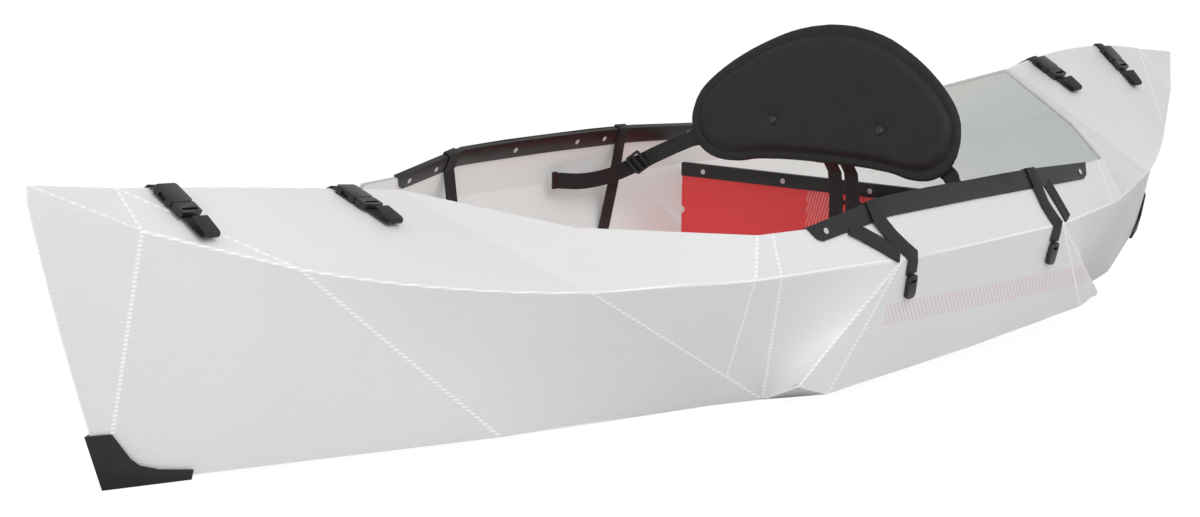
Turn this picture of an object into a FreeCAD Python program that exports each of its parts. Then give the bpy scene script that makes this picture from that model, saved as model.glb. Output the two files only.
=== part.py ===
import FreeCAD, Part
import math
import os

# Nine foot folding kayak, folded up from one corrugated plastic sheet and ready to paddle.
# Millimetres. X runs aft, Y to starboard, Z up. The origin is under the middle of the hull,
# on the ground that it rests on. Port is the side with negative Y.

Vector = FreeCAD.Vector
UP = Vector(0, 0, 1)
AFT = Vector(1, 0, 0)

SIZES = {
    # the sheet, and the folds that both ends share: distance from midship, half width, height
    "sheet_wall": 5.0,
    "tip_reach": 1370.0,
    "stem_foot_reach": 1263.0,
    "stem_foot_rise": 5.0,
    "stem_bulge": 5.0,
    "tip_edge": 20.0,
    "nose_sheer_reach": 1257.0,
    "nose_sheer_half": 60.0,
    "fore_sheer_reach": 1086.0,
    "fore_sheer_half": 136.0,
    "coaming_sheer_reach": 735.0,
    "coaming_sheer_half": 282.0,
    "gusset_sheer_reach": 495.0,
    "gusset_sheer_half": 360.0,
    "brace_sheer_reach": 449.0,
    "brace_sheer_half": 368.0,
    "side_top_reach": 221.0,
    "half_beam": 407.0,
    "fore_chine_reach": 790.0,
    "fore_chine_half": 190.0,
    "fore_chine_rise": 6.0,
    "flat_reach": 455.0,
    "flat_half": 266.0,
    "gusset_foot_reach": 381.0,
    "gusset_foot_half": 296.0,
    "gusset_fold_share": 0.78,
    "side_heel_reach": 410.0,
    "side_heel_inset": 36.0,
    "side_foot_reach": 345.0,
    "side_foot_inset": 32.0,
    "chine_inset": 29.0,
    "chine_rise": 21.0,
    # heights that differ between the two ends, and insets from the half beam above
    "bow_tip_rise": 361.0,
    "bow_nose_sheer_rise": 303.0,
    "bow_fore_sheer_rise": 247.0,
    "bow_coaming_sheer_rise": 190.0,
    "bow_gusset_sheer_rise": 182.0,
    "bow_side_top_rise": 180.0,
    "bow_side_heel_rise": 33.0,
    "bow_side_foot_rise": 13.0,
    "bow_ridge_fold_rise": 344.0,
    "bow_ridge_middle_rise": 320.0,
    "bow_apex_rise": 290.0,
    "bow_coaming_rise": 249.0,
    "bow_gusset_edge_rise": 234.0,
    "bow_rail_end_rise": 233.0,
    "bow_rail_bend_rise": 257.0,
    "stern_tip_rise": 323.0,
    "stern_nose_sheer_rise": 264.0,
    "stern_fore_sheer_rise": 212.0,
    "stern_coaming_sheer_rise": 188.0,
    "stern_gusset_sheer_rise": 180.0,
    "stern_side_top_rise": 176.0,
    "stern_side_heel_rise": 46.0,
    "stern_side_foot_rise": 33.0,
    "stern_ridge_fold_rise": 337.0,
    "stern_ridge_middle_rise": 354.0,
    "stern_apex_rise": 333.0,
    "stern_coaming_rise": 269.0,
    "stern_gusset_edge_rise": 242.0,
    "stern_rail_end_rise": 244.0,
    "stern_rail_bend_rise": 253.0,
    # deck ridge and cockpit edge
    "ridge_fold_reach": 1241.0,
    "ridge_middle_reach": 1010.0,
    "apex_reach": 760.0,
    "coaming_reach": 646.0,
    "coaming_half": 188.0,
    "gusset_edge_reach": 464.0,
    "gusset_edge_half": 340.0,
    "rail_end_reach": 376.0,
    "rail_end_inset": 52.0,
    "rail_bend_reach": 212.0,
    "rail_bend_inset": 38.0,
    "rail_middle_inset": 35.0,
    "rail_middle_rise": 257.0,
    # gunwale rails
    "rail_flange": 27.0,
    "rail_wall": 2.0,
    "rail_play": 0.55,
    "rivet_radius": 4.5,
    "rivet_head": 1.6,
    # tip guards
    "guard_wall": 3.2,
    "guard_play": 0.3,
    "guard_height": 62.0,
    "guard_length": 96.0,
    "guard_arm": 17.0,
    # webbing and its fittings
    "bow_wrap_reach": 241.0,
    "bow_wrap_sheer_reach": 196.0,
    "bow_wrap_brace_reach": 283.0,
    "bow_wrap_knot_reach": 226.0,
    "stern_wrap_reach": 180.0,
    "stern_wrap_sheer_reach": 203.0,
    "stern_wrap_brace_reach": 222.0,
    "stern_wrap_knot_reach": 240.0,
    "wrap_hang_rise": 86.0,
    "wrap_hang_drift": 30.0,
    "web_width": 25.0,
    "web_thick": 1.6,
    "web_seat": 0.3,
    "hook_length": 34.0,
    "hook_width": 20.0,
    "hook_thick": 6.0,
    "lock_length": 26.0,
    "lock_width": 33.0,
    "lock_thick": 5.0,
    "lock_bar": 4.0,
    # side release buckles of the deck straps
    "bow_tip_strap_reach": 1180.0,
    "bow_apex_strap_reach": 878.0,
    "stern_apex_strap_reach": 846.0,
    "stern_tip_strap_reach": 1085.0,
    "anchor_drop": 58.0,
    "socket_start": 9.0,
    "socket_length": 33.0,
    "socket_width": 34.0,
    "socket_thick": 10.0,
    "socket_wall": 1.8,
    "latch_base": 19.0,
    "latch_prong": 24.0,
    "latch_prong_width": 5.0,
    "latch_guide": 18.0,
    "latch_guide_width": 6.0,
    "latch_play": 0.4,
    "tail_length": 34.0,
    "tail_curl": 5.0,
    "tail_return": 24.0,
    # floor, seat and bulkhead
    "floor_wall": 5.0,
    "floor_fore_reach": 330.0,
    "floor_aft_reach": 320.0,
    "floor_half": 200.0,
    "piece_seat": 0.3,
    "seat_length": 300.0,
    "seat_half": 165.0,
    "seat_thick": 28.0,
    "seat_front": 120.0,
    "bulkhead_station": 345.0,
    "bulkhead_inset": 41.0,
    "bulkhead_top": 180.0,
    "bulkhead_bevel_half": 255.0,
    "bulkhead_bevel_rise": 58.0,
    "bulkhead_notch": 6.0,
    "bulkhead_notch_rise": 104.0,
    "cross_rail_drop": 22.0,
    # backrest
    "back_station": 200.0,
    "back_foot_rise": 216.0,
    "back_lean": 10.3,
    "back_height": 230.0,
    "back_half": 246.0,
    "back_shoulder_half": 212.0,
    "back_crown_half": 127.0,
    "back_heel_half": 188.0,
    "back_hollow_half": 118.0,
    "back_arch": 11.0,
    "back_thick": 22.0,
    "back_panel": 4.0,
    "back_inset": 9.0,
    "button_radius": 7.0,
    "button_head": 3.0,
    "button_half": 88.0,
    "button_rise": 62.0,
    "lower_strap_half": 15.0,
    "lower_lock_rise": 160.0,
    "lower_strap_station": 268.0,
    "lock_station": 183.0,
    "lock_inset": 21.9,
    "lock_rise": 192.0,
    "side_strap_rise": 272.0,
    "side_strap_stitch": 16.0,
    "strap_end_station": 24.0,
    "strap_end_rise": 184.0,
    "strap_end_flare": 28.0,
}

document = FreeCAD.newDocument("FoldingKayak")
sheet = document.addObject("Spreadsheet::Sheet", "sizes")
for row, (alias, value) in enumerate(SIZES.items(), start=1):
    sheet.set(f"A{row}", alias)
    sheet.set(f"B{row}", str(value))
    sheet.setAlias(f"B{row}", alias)
document.recompute()

sub_parts = []


def size(alias):
    """A driving size, read from the sheet."""
    return float(sheet.get(alias))


def keep(item, label, placement=None):
    """Names a finished sub-part and lists it for export."""
    item.Label = label
    if placement is not None:
        item.Placement = placement
    sub_parts.append(item)
    return item


def keep_shape(shape, label, placement=None):
    """A sub-part whose shape is worked out here from the sheet's sizes."""
    item = document.addObject("Part::Feature", label)
    item.Shape = shape
    return keep(item, label, placement)


# Plain geometry


def corner(point):
    """A point as a key, so that neighbouring panels find their shared corners."""
    return (round(point.x, 3), round(point.y, 3), round(point.z, 3))


def between(start, end, share):
    return start + (end - start) * share


def unit(vector):
    return Vector(vector).normalize()


def normal_of(face):
    return (face[1] - face[0]).cross(face[2] - face[0]).normalize()


def fan(polygon):
    """Triangles from the polygon's first corner."""
    return [[polygon[0], polygon[i], polygon[i + 1]] for i in range(1, len(polygon) - 1)]


def strip(upper, lower):
    """Triangles between two rows of points, with one straight ruling at each pair."""
    faces = []
    for i in range(len(upper) - 1):
        faces.append([upper[i], lower[i], lower[i + 1]])
        faces.append([upper[i], lower[i + 1], upper[i + 1]])
    return faces


def closed_solid(faces):
    """One solid inside a closed set of flat faces."""
    shell = Part.makeShell([Part.Face(Part.makePolygon(face + [face[0]])) for face in faces])
    shell.sewShape()
    solid = Part.makeSolid(shell)
    if solid.Volume < 0:
        solid.reverse()
    return solid


def tube(rings, caps=((0, 1, 2, 3),)):
    """A bar through rings of matching corners, closed at both ends by the quads in caps."""
    faces = []
    count = len(rings[0])
    for near, far in zip(rings[:-1], rings[1:]):
        for i in range(count):
            k = (i + 1) % count
            quad = [near[i], near[k], far[k], far[i]]
            reach = [abs(point.x) + point.z for point in quad]
            turn = reach.index(max(reach))
            faces += fan(quad[turn:] + quad[:turn])
    for quad in caps:
        near = [rings[0][i] for i in reversed(quad)]
        far = [rings[-1][i] for i in quad]
        faces += fan(near) + fan(far)
    return closed_solid(faces)


def band(stations, width, thick):
    """Webbing that lies on a surface: each station is its middle, its across and its outward."""
    rings = []
    for middle, across, outward in stations:
        half = unit(across) * (width / 2)
        lift = unit(outward) * thick
        rings.append([middle - half, middle + half, middle + half + lift, middle - half + lift])
    return tube(rings)


def frame_at(origin, along, across):
    """The placement whose X is along and whose Z is across turned up from it."""
    x_axis = unit(along)
    z_axis = x_axis.cross(unit(across)).normalize()
    y_axis = z_axis.cross(x_axis)
    matrix = FreeCAD.Matrix(
        x_axis.x, y_axis.x, z_axis.x, origin.x,
        x_axis.y, y_axis.y, z_axis.y, origin.y,
        x_axis.z, y_axis.z, z_axis.z, origin.z,
        0, 0, 0, 1)
    return FreeCAD.Placement(matrix)


# The fold pattern: named corners of one quarter of the hull, mirrored to the other three

ENDS = {"bow": -1, "stern": 1}
SIDES = {"port": -1, "starboard": 1}
SHEER_STEPS = 6
STEM_STEPS = 5


def quarter(end, side):
    """Corners and rows of corners for one end and one side of the hull."""
    aft, out = ENDS[end], SIDES[side]

    def at(reach, half, rise):
        return Vector(aft * reach, out * half, rise)

    def fold(reach, half, rise):
        return at(size(reach), size(half), size(rise))

    def flank(reach, inset, rise):
        """A corner of the midship side, set in from the half beam."""
        return at(size(reach), size("half_beam") - size(inset), size(rise))

    def own(name):
        return size(f"{end}_{name}")

    points = {}
    tip_top = at(size("tip_reach"), 0, own("tip_rise"))
    points["tip_top"] = tip_top
    points["nose_sheer"] = fold("nose_sheer_reach", "nose_sheer_half", f"{end}_nose_sheer_rise")
    points["fore_sheer"] = fold("fore_sheer_reach", "fore_sheer_half", f"{end}_fore_sheer_rise")
    points["coaming_sheer"] = fold("coaming_sheer_reach", "coaming_sheer_half",
                                   f"{end}_coaming_sheer_rise")
    points["gusset_sheer"] = fold("gusset_sheer_reach", "gusset_sheer_half",
                                  f"{end}_gusset_sheer_rise")
    points["brace_sheer"] = at(size("brace_sheer_reach"), size("brace_sheer_half"),
                               (own("gusset_sheer_rise") + own("side_top_rise")) / 2)
    points["side_top"] = fold("side_top_reach", "half_beam", f"{end}_side_top_rise")
    points["middle_top"] = at(0, size("half_beam"),
                              (size("bow_side_top_rise") + size("stern_side_top_rise")) / 2)
    points["brace_middle"] = between(points["brace_sheer"], points["side_top"], 0.5)
    points["side_middle"] = between(points["side_top"], points["middle_top"], 0.5)

    points["stem_foot"] = at(size("stem_foot_reach"), 0, size("stem_foot_rise"))
    points["fore_chine"] = fold("fore_chine_reach", "fore_chine_half", "fore_chine_rise")
    points["flat"] = at(size("flat_reach"), size("flat_half"), 0)
    points["gusset_foot"] = at(size("gusset_foot_reach"), size("gusset_foot_half"), 0)
    points["gusset_fold"] = between(points["coaming_sheer"], points["gusset_foot"],
                                    size("gusset_fold_share"))
    points["side_heel"] = flank("side_heel_reach", "side_heel_inset", f"{end}_side_heel_rise")
    points["side_foot"] = flank("side_foot_reach", "side_foot_inset", f"{end}_side_foot_rise")
    points["brace_foot"] = between(points["gusset_foot"], points["side_heel"], 0.5)
    points["chine_middle"] = at(0, size("half_beam") - size("chine_inset"), size("chine_rise"))
    points["chine_between"] = between(points["side_foot"], points["chine_middle"], 0.5)
    points["keel"] = Vector(0, 0, 0)

    points["ridge_fold"] = at(size("ridge_fold_reach"), 0, own("ridge_fold_rise"))
    points["ridge_middle"] = at(size("ridge_middle_reach"), 0, own("ridge_middle_rise"))
    points["apex"] = at(size("apex_reach"), 0, own("apex_rise"))
    points["coaming"] = fold("coaming_reach", "coaming_half", f"{end}_coaming_rise")
    points["gusset_edge"] = fold("gusset_edge_reach", "gusset_edge_half",
                                 f"{end}_gusset_edge_rise")
    points["rail_end"] = flank("rail_end_reach", "rail_end_inset", f"{end}_rail_end_rise")
    points["rail_bend"] = flank("rail_bend_reach", "rail_bend_inset", f"{end}_rail_bend_rise")
    points["rail_middle"] = at(0, size("half_beam") - size("rail_middle_inset"),
                               size("rail_middle_rise"))
    points["brace_edge"] = between(points["gusset_edge"], points["rail_end"], 0.3)
    points["rail_run"] = between(points["rail_bend"], points["rail_middle"], 0.5) + UP * 1.0

    rows = {}
    sheer = Part.BSplineCurve()
    sheer.interpolate([points[name] for name in
                       ("nose_sheer", "fore_sheer", "coaming_sheer", "gusset_sheer")])
    first = sheer.parameter(points["fore_sheer"])
    last = sheer.parameter(points["coaming_sheer"])
    shares = [i / SHEER_STEPS for i in range(SHEER_STEPS + 1)]
    rows["sheer"] = [sheer.value(first + (last - first) * share) for share in shares]
    rows["sheer"][0], rows["sheer"][-1] = points["fore_sheer"], points["coaming_sheer"]
    ridge = Part.BSplineCurve()
    ridge.interpolate([points[name] for name in ("ridge_fold", "ridge_middle", "apex")])
    first, last = ridge.FirstParameter, ridge.LastParameter
    rows["ridge"] = [ridge.value(first + (last - first) * share) for share in shares]
    rows["ridge"][0], rows["ridge"][-1] = points["ridge_fold"], points["apex"]
    rows["chine"] = [between(points["fore_chine"], points["flat"], share) for share in shares]

    tip_edge = tip_top - UP * size("tip_edge")
    rake = tip_edge - points["stem_foot"]
    bulge = Vector(aft * 4 * size("stem_bulge"), 0, 0)
    rises = [i / STEM_STEPS for i in range(STEM_STEPS + 1)]
    rows["stem"] = [points["stem_foot"] + rake * u + bulge * (u * (1 - u)) for u in rises]

    rows["edge"] = [points[name] for name in ("coaming", "gusset_edge", "brace_edge", "rail_end",
                                              "rail_bend", "rail_run", "rail_middle")]
    rows["edge_foot"] = [points[name] for name in (
        "coaming_sheer", "gusset_sheer", "brace_sheer", "brace_middle", "side_top",
        "side_middle", "middle_top")]
    rows["flange"] = [edge + unit(foot - edge) * size("rail_flange")
                      for edge, foot in zip(rows["edge"], rows["edge_foot"])]
    return points, rows


def quarter_panels(end, side):
    """Outer faces of the panels between the folds of one quarter."""
    points, rows = quarter(end, side)

    def pick(*names):
        return [points[name] for name in names]

    stem = rows["stem"] + [points["tip_top"]]
    panels = {}
    panels["deck"] = (fan(pick("nose_sheer", "tip_top", "ridge_fold"))
                      + fan(pick("ridge_fold", "nose_sheer", "fore_sheer"))
                      + strip(rows["ridge"], rows["sheer"])
                      + fan([points["apex"], points["coaming"], rows["flange"][0],
                             points["coaming_sheer"]]))
    panels["side"] = (fan([points["nose_sheer"]] + stem)
                      + fan(pick("fore_sheer", "nose_sheer", "stem_foot", "fore_chine"))
                      + strip(rows["sheer"], rows["chine"])
                      + fan(pick("flat", "coaming_sheer", "gusset_fold", "gusset_foot")))
    panels["gusset"] = (fan(pick("gusset_fold", "coaming_sheer", "gusset_sheer"))
                        + fan(pick("gusset_fold", "gusset_sheer", "brace_sheer", "gusset_foot"))
                        + strip(pick("brace_sheer", "brace_middle", "side_top"),
                                pick("gusset_foot", "brace_foot", "side_heel")))
    panels["wing"] = (strip(rows["edge"], rows["flange"])
                      + strip(rows["flange"], rows["edge_foot"]))
    panels["wall"] = (fan(pick("side_heel", "side_top", "side_foot"))
                      + strip(pick("side_top", "side_middle", "middle_top"),
                              pick("side_foot", "chine_between", "chine_middle")))
    panels["end_floor"] = (fan([Vector(points["fore_chine"].x, 0, size("fore_chine_rise"))]
                               + pick("stem_foot", "fore_chine"))
                           + strip([Vector(p.x, 0, p.z) for p in rows["chine"]], rows["chine"])
                           + fan([Vector(points["flat"].x, 0, 0)]
                                 + pick("flat", "gusset_foot")
                                 + [Vector(points["gusset_foot"].x, 0, 0)]))
    panels["mid_floor"] = (fan(pick("keel") + [Vector(points["gusset_foot"].x, 0, 0)]
                               + pick("gusset_foot", "side_foot", "chine_between",
                                      "chine_middle"))
                           + fan(pick("side_foot", "gusset_foot", "brace_foot", "side_heel")))
    return panels


# Panels that one piece of the sheet covers are gathered from the quarters they reach into
hull_faces = {}
for end_name in ENDS:
    for side_name in SIDES:
        for part_name, faces in quarter_panels(end_name, side_name).items():
            label = {
                "deck": f"{end_name}_deck_{side_name}",
                "side": f"{end_name}_side_{side_name}",
                "gusset": f"{end_name}_gusset_{side_name}",
                "wing": f"cockpit_wing_{side_name}",
                "wall": f"middle_side_{side_name}",
                "end_floor": f"{end_name}_bottom",
                "mid_floor": "middle_bottom",
            }[part_name]
            hull_faces.setdefault(label, []).extend(faces)


def directed(face):
    return [(corner(face[i]), corner(face[(i + 1) % 3])) for i in range(3)]


def turn_outward():
    """Turns each face to agree with its neighbours, from one bottom face that looks down."""
    where = {}
    for label, faces in hull_faces.items():
        for i, face in enumerate(faces):
            for near, far in directed(face):
                where.setdefault(frozenset((near, far)), []).append((label, i))
    start = ("middle_bottom", 0)
    if normal_of(hull_faces["middle_bottom"][0]).z > 0:
        hull_faces["middle_bottom"][0].reverse()
    done, waiting = {start}, [start]
    while waiting:
        label, i = waiting.pop()
        for edge in directed(hull_faces[label][i]):
            for spot in where[frozenset(edge)]:
                if spot in done:
                    continue
                neighbour = hull_faces[spot[0]][spot[1]]
                if edge in directed(neighbour):
                    neighbour.reverse()
                done.add(spot)
                waiting.append(spot)


turn_outward()

# Each corner moves in along the mean of its faces' normals, so that neighbours share a mitre
LONGEST_MITRE = 3.0
corner_normals = {}
for faces in hull_faces.values():
    for face in faces:
        for i in range(3):
            ahead, behind = face[(i + 1) % 3] - face[i], face[i - 1] - face[i]
            weight = ahead.getAngle(behind)
            corner_normals.setdefault(corner(face[i]), []).append((normal_of(face), weight))

mitres = {}
for spot, pairs in corner_normals.items():
    mean = Vector(0, 0, 0)
    for normal, weight in pairs:
        mean += normal * weight
    mean.normalize()
    total = sum(weight for normal, weight in pairs)
    spread = sum(mean.dot(normal) * weight for normal, weight in pairs) / total
    mitres[spot] = mean * min(1 / spread, LONGEST_MITRE)


def inner(point, depth):
    """The point under an outer corner of the hull, at this depth below the outer face."""
    return point - mitres[corner(point)] * depth


def folded_sheet(faces, start, wall):
    """The solid between two depths under a set of hull faces, with mitred rims."""
    skin = [[inner(point, start) for point in face] for face in faces]
    edges = set()
    for face in faces:
        skin.append([inner(point, wall) for point in reversed(face)])
        for i in range(3):
            edges.add((corner(face[i]), corner(face[(i + 1) % 3])))
    for face in faces:
        for i in range(3):
            near, far = face[i], face[(i + 1) % 3]
            if (corner(far), corner(near)) in edges:
                continue
            near_in, far_in = inner(near, wall), inner(far, wall)
            near_out, far_out = inner(near, start), inner(far, start)
            if corner(near) < corner(far):
                skin += [[far_out, near_out, far_in], [near_out, near_in, far_in]]
            else:
                skin += [[far_out, near_out, near_in], [far_out, near_in, far_in]]
    return closed_solid(skin)


for label, faces in hull_faces.items():
    keep_shape(folded_sheet(faces, 0, size("sheet_wall")), label)


def surface_at(label, x, y):
    """The point and the normal of a panel's outer face above or below a place in plan."""
    for face in hull_faces[label]:
        a, b, c = face
        area = (b.x - a.x) * (c.y - a.y) - (c.x - a.x) * (b.y - a.y)
        if abs(area) < 1e-9:
            continue
        along_b = ((x - a.x) * (c.y - a.y) - (c.x - a.x) * (y - a.y)) / area
        along_c = ((b.x - a.x) * (y - a.y) - (x - a.x) * (b.y - a.y)) / area
        if min(along_b, along_c, 1 - along_b - along_c) > -1e-6:
            return a + (b - a) * along_b + (c - a) * along_c, normal_of(face)
    raise ValueError(f"no face of {label} at {x}, {y}")


def side_at(label, x, z):
    """The point and the normal of a panel's outer face at a place seen from the side."""
    for face in hull_faces[label]:
        a, b, c = face
        area = (b.x - a.x) * (c.z - a.z) - (c.x - a.x) * (b.z - a.z)
        if abs(area) < 1e-9:
            continue
        along_b = ((x - a.x) * (c.z - a.z) - (c.x - a.x) * (z - a.z)) / area
        along_c = ((b.x - a.x) * (z - a.z) - (x - a.x) * (b.z - a.z)) / area
        if min(along_b, along_c, 1 - along_b - along_c) > -1e-6:
            return a + (b - a) * along_b + (c - a) * along_c, normal_of(face)
    raise ValueError(f"no face of {label} at {x}, {z}")


# Gunwale rails: folded channels that clamp the upper edge of each cockpit wing

END_ROUND = 7.0


def rail_row(side):
    """Edge and flange corners along one gunwale, from the bow end to the stern end."""
    pairs = []
    for end in ("bow", "stern"):
        points, rows = quarter(end, side)
        row = list(zip(rows["edge"], rows["flange"]))[3:]
        pairs += row if end == "bow" else row[-2::-1]
    return pairs


def channel_ring(edge, flange, drop):
    """Eight corners of the channel's section, its flanges as deep as drop."""
    play, wall = size("rail_play"), size("rail_wall")
    up = unit(edge - flange)
    depth = size("sheet_wall")
    low_share = drop / size("rail_flange")
    low_out = between(edge, flange, low_share)
    low_in = between(inner(edge, depth), inner(flange, depth), low_share)
    out_way = mitres[corner(edge)]
    top_out, top_in = edge, inner(edge, depth)
    return [
        low_out + out_way * (play + wall),
        top_out + out_way * (play + wall) + up * (play + wall),
        top_in - out_way * (play + wall) + up * (play + wall),
        low_in - out_way * (play + wall),
        low_in - out_way * play,
        top_in - out_way * play + up * play,
        top_out + out_way * play + up * play,
        low_out + out_way * play,
    ]


def rail_rings(side):
    pairs = rail_row(side)
    full = size("rail_flange") - 1.0
    rings = []
    for i, (edge, flange) in enumerate(pairs):
        drop = full - END_ROUND if i in (0, len(pairs) - 1) else full
        rings.append(channel_ring(edge, flange, drop))
    for at, towards in ((0, 1), (len(rings) - 1, len(rings) - 2)):
        edge, flange = pairs[at]
        step = END_ROUND / (pairs[towards][0] - edge).Length
        full_ring = channel_ring(edge, flange, full)
        next_ring = rings[towards]
        ring = [between(p, q, step) for p, q in zip(full_ring, next_ring)]
        rings.insert(1 if at == 0 else len(rings) - 1, ring)
    return rings


rails = {side: rail_rings(side) for side in SIDES}
for side, rings in rails.items():
    caps = ((0, 1, 6, 7), (1, 2, 5, 6), (2, 3, 4, 5))
    keep_shape(tube(rings, caps), f"gunwale_rail_{side}")


def rivet(place, outward_way):
    """A domed rivet head that seats on a face."""
    radius, head = size("rivet_radius"), size("rivet_head")
    ball = (radius * radius + head * head) / (2 * head)
    dome = Part.makeSphere(ball, Vector(0, 0, head - ball))
    slab = Part.makeCylinder(radius, head)
    cap = dome.common(slab)
    cap.Placement = FreeCAD.Placement(place, FreeCAD.Rotation(UP, outward_way))
    return cap


OUTER_RIVETS = (0.035, 0.965)
INNER_RIVETS = (0.035, 0.13, 0.39, 0.59, 0.68, 0.965)


def rail_rivets(side):
    """Rivet heads along both flanges of one rail."""
    rings = rails[side]
    heads = []
    lengths = [(b[1] - a[1]).Length for a, b in zip(rings[:-1], rings[1:])]
    for low, top, slot, shares in ((0, 1, 7, OUTER_RIVETS), (3, 2, 4, INNER_RIVETS)):
        for share in shares:
            run = share * sum(lengths)
            i = 0
            while run > lengths[i]:
                run -= lengths[i]
                i += 1
            quad = [rings[i][low], rings[i][top], rings[i + 1][top], rings[i + 1][low]]
            reach = [abs(point.x) + point.z for point in quad]
            turn = reach.index(max(reach))
            quad = quad[turn:] + quad[:turn]
            ring = [between(p, q, run / lengths[i]) for p, q in zip(rings[i], rings[i + 1])]
            spot = between(ring[low], ring[top], 0.45)
            lifts = []
            for facet in fan(quad):
                outside = normal_of(facet)
                if outside.dot(ring[low] - ring[slot]) < 0:
                    outside = outside * -1
                lifts.append(((facet[0] - spot).dot(outside), outside))
            lift, outside = max(lifts, key=lambda pair: pair[0])
            heads.append(rivet(spot + outside * (lift + 0.25), outside))
    return Part.makeCompound(heads)


for side in SIDES:
    keep_shape(rail_rivets(side), f"rail_rivets_{side}")


# Tip guards: moulded corners that wrap the foot of each stem


def guard(end):
    """The guard's outline, cut from a shell that stands a little off the hull."""
    aft = ENDS[end]
    points, rows = quarter(end, "starboard")
    stem = {corner(point) for point in rows["stem"]}
    nose = []
    for label, faces in hull_faces.items():
        nose += [face for face in faces if stem & {corner(point) for point in face}]
    play, wall = size("guard_play"), size("guard_wall")
    shell = folded_sheet(nose, -play - wall, -play)
    height, length, arm = size("guard_height"), size("guard_length"), size("guard_arm")
    foot, low = points["stem_foot"], -size("stem_foot_rise") - 5
    rake = (size("tip_reach") - size("stem_foot_reach")) / size(f"{end}_tip_rise")
    outline = [(30.0, low), (-length, low), (-length, 8), (-length * 0.6, 13),
               (-arm - 16, arm + 4), (-arm - 4, arm + 14), (rake * height - arm, height),
               (rake * height + 30.0, height)]
    half = size("half_beam") / 2
    corners = [Vector(foot.x + aft * x, -half, foot.z + z) for x, z in outline]
    plate = Part.Face(Part.makePolygon(corners + [corners[0]])).extrude(Vector(0, 2 * half, 0))
    return shell.common(plate)


for end in ENDS:
    keep_shape(guard(end), f"{end}_guard")


# Floorboard, seat pad and bulkhead


def bound_box(label, length, width, height):
    """A box whose three sides follow the sheet."""
    box = document.addObject("Part::Box", label)
    box.setExpression("Length", length)
    box.setExpression("Width", width)
    box.setExpression("Height", height)
    return box


def clipped(polygon, axis, bound, sense):
    """The part of a polygon on one side of an axis-aligned plane."""
    kept = []
    for i, point in enumerate(polygon):
        last = polygon[i - 1]
        here, before = (point[axis] - bound) * sense, (last[axis] - bound) * sense
        if here * before < 0:
            kept.append(between(last, point, before / (before - here)))
        if here >= 0:
            kept.append(point)
    return kept


def highest_floor(fore, aft, half):
    """The top of the bottom sheet's inner face within a rectangle in plan."""
    tops = []
    for face in hull_faces["middle_bottom"] + hull_faces["bow_bottom"]:
        patch = [inner(point, size("sheet_wall")) for point in face]
        for axis, bound, sense in ((0, fore, 1), (0, aft, -1), (1, -half, 1), (1, half, -1)):
            patch = clipped(patch, axis, bound, sense)
        tops += [point.z for point in patch]
    return max(tops)


floor_rise = highest_floor(-size("floor_fore_reach"), size("floor_aft_reach"),
                           size("floor_half")) + size("piece_seat")
floorboard = bound_box("Floorboard", "sizes.floor_fore_reach + sizes.floor_aft_reach",
                       "2 * sizes.floor_half", "sizes.floor_wall")
document.recompute()
floor_round = document.addObject("Part::Fillet", "FloorboardCorners")
floor_round.Base = floorboard
upright = [i + 1 for i, edge in enumerate(floorboard.Shape.Edges)
           if abs(edge.tangentAt(edge.FirstParameter).z) > 0.9]
floor_round.Edges = [(i, 30.0, 30.0) for i in upright]
keep(floor_round, "floorboard", FreeCAD.Placement(
    Vector(-size("floor_fore_reach"), -size("floor_half"), floor_rise), FreeCAD.Rotation()))
floor_top = floor_rise + size("floor_wall")


def crowned_pad(outline_at, levels):
    """A pad lofted through its outline at each level, drawn in as each level says."""
    wires = []
    for level, inset in levels:
        points = [Vector(x, y, level) for x, y in outline_at(inset)]
        curve = Part.BSplineCurve()
        curve.interpolate(points, PeriodicFlag=True)
        wires.append(Part.Wire(curve.toShape()))
    return Part.makeLoft(wires, True, False)


def seat_outline(inset):
    """A rounded rectangle, as a superellipse."""
    length, half = size("seat_length") / 2 - inset, size("seat_half") - inset
    count, power = 20, 0.42
    spots = []
    for i in range(count):
        turn = 2 * math.pi * i / count
        c, s = math.cos(turn), math.sin(turn)
        spots.append((math.copysign(abs(c) ** power, c) * length,
                      math.copysign(abs(s) ** power, s) * half))
    return spots


seat_thick = size("seat_thick")
seat_levels = ((0, 3), (seat_thick * 0.3, 0), (seat_thick * 0.7, 3), (seat_thick, 26))
keep_shape(crowned_pad(seat_outline, seat_levels), "seat_pad", FreeCAD.Placement(
    Vector(size("seat_length") / 2 - size("seat_front"), 0, floor_top + size("piece_seat")),
    FreeCAD.Rotation()))


bulkhead_half = size("half_beam") - size("bulkhead_inset")


def bulkhead_shape():
    """The cross panel: its lower corners clear the rise of the bottom."""
    half, top = bulkhead_half, size("bulkhead_top")
    bevel_half, bevel_rise = size("bulkhead_bevel_half"), size("bulkhead_bevel_rise")
    front = size("bulkhead_station")
    foot = highest_floor(front, front + size("floor_wall"), bevel_half) + size("piece_seat")
    outline = [(bevel_half, foot), (half, bevel_rise), (half, top),
               (-half, top), (-half, bevel_rise), (-bevel_half, foot)]
    corners = [Vector(0, y, z) for y, z in outline]
    panel = Part.Face(Part.makePolygon(corners + [corners[0]]))
    panel = panel.extrude(Vector(size("floor_wall"), 0, 0))
    for out in SIDES.values():
        notch = Part.makeCylinder(size("bulkhead_notch"), 20,
                                  Vector(-5, out * half, size("bulkhead_notch_rise")), AFT)
        panel = panel.cut(notch)
    return panel


station = size("bulkhead_station")
keep_shape(bulkhead_shape(), "bulkhead", FreeCAD.Placement(Vector(station, 0, 0),
                                                           FreeCAD.Rotation()))

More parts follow.
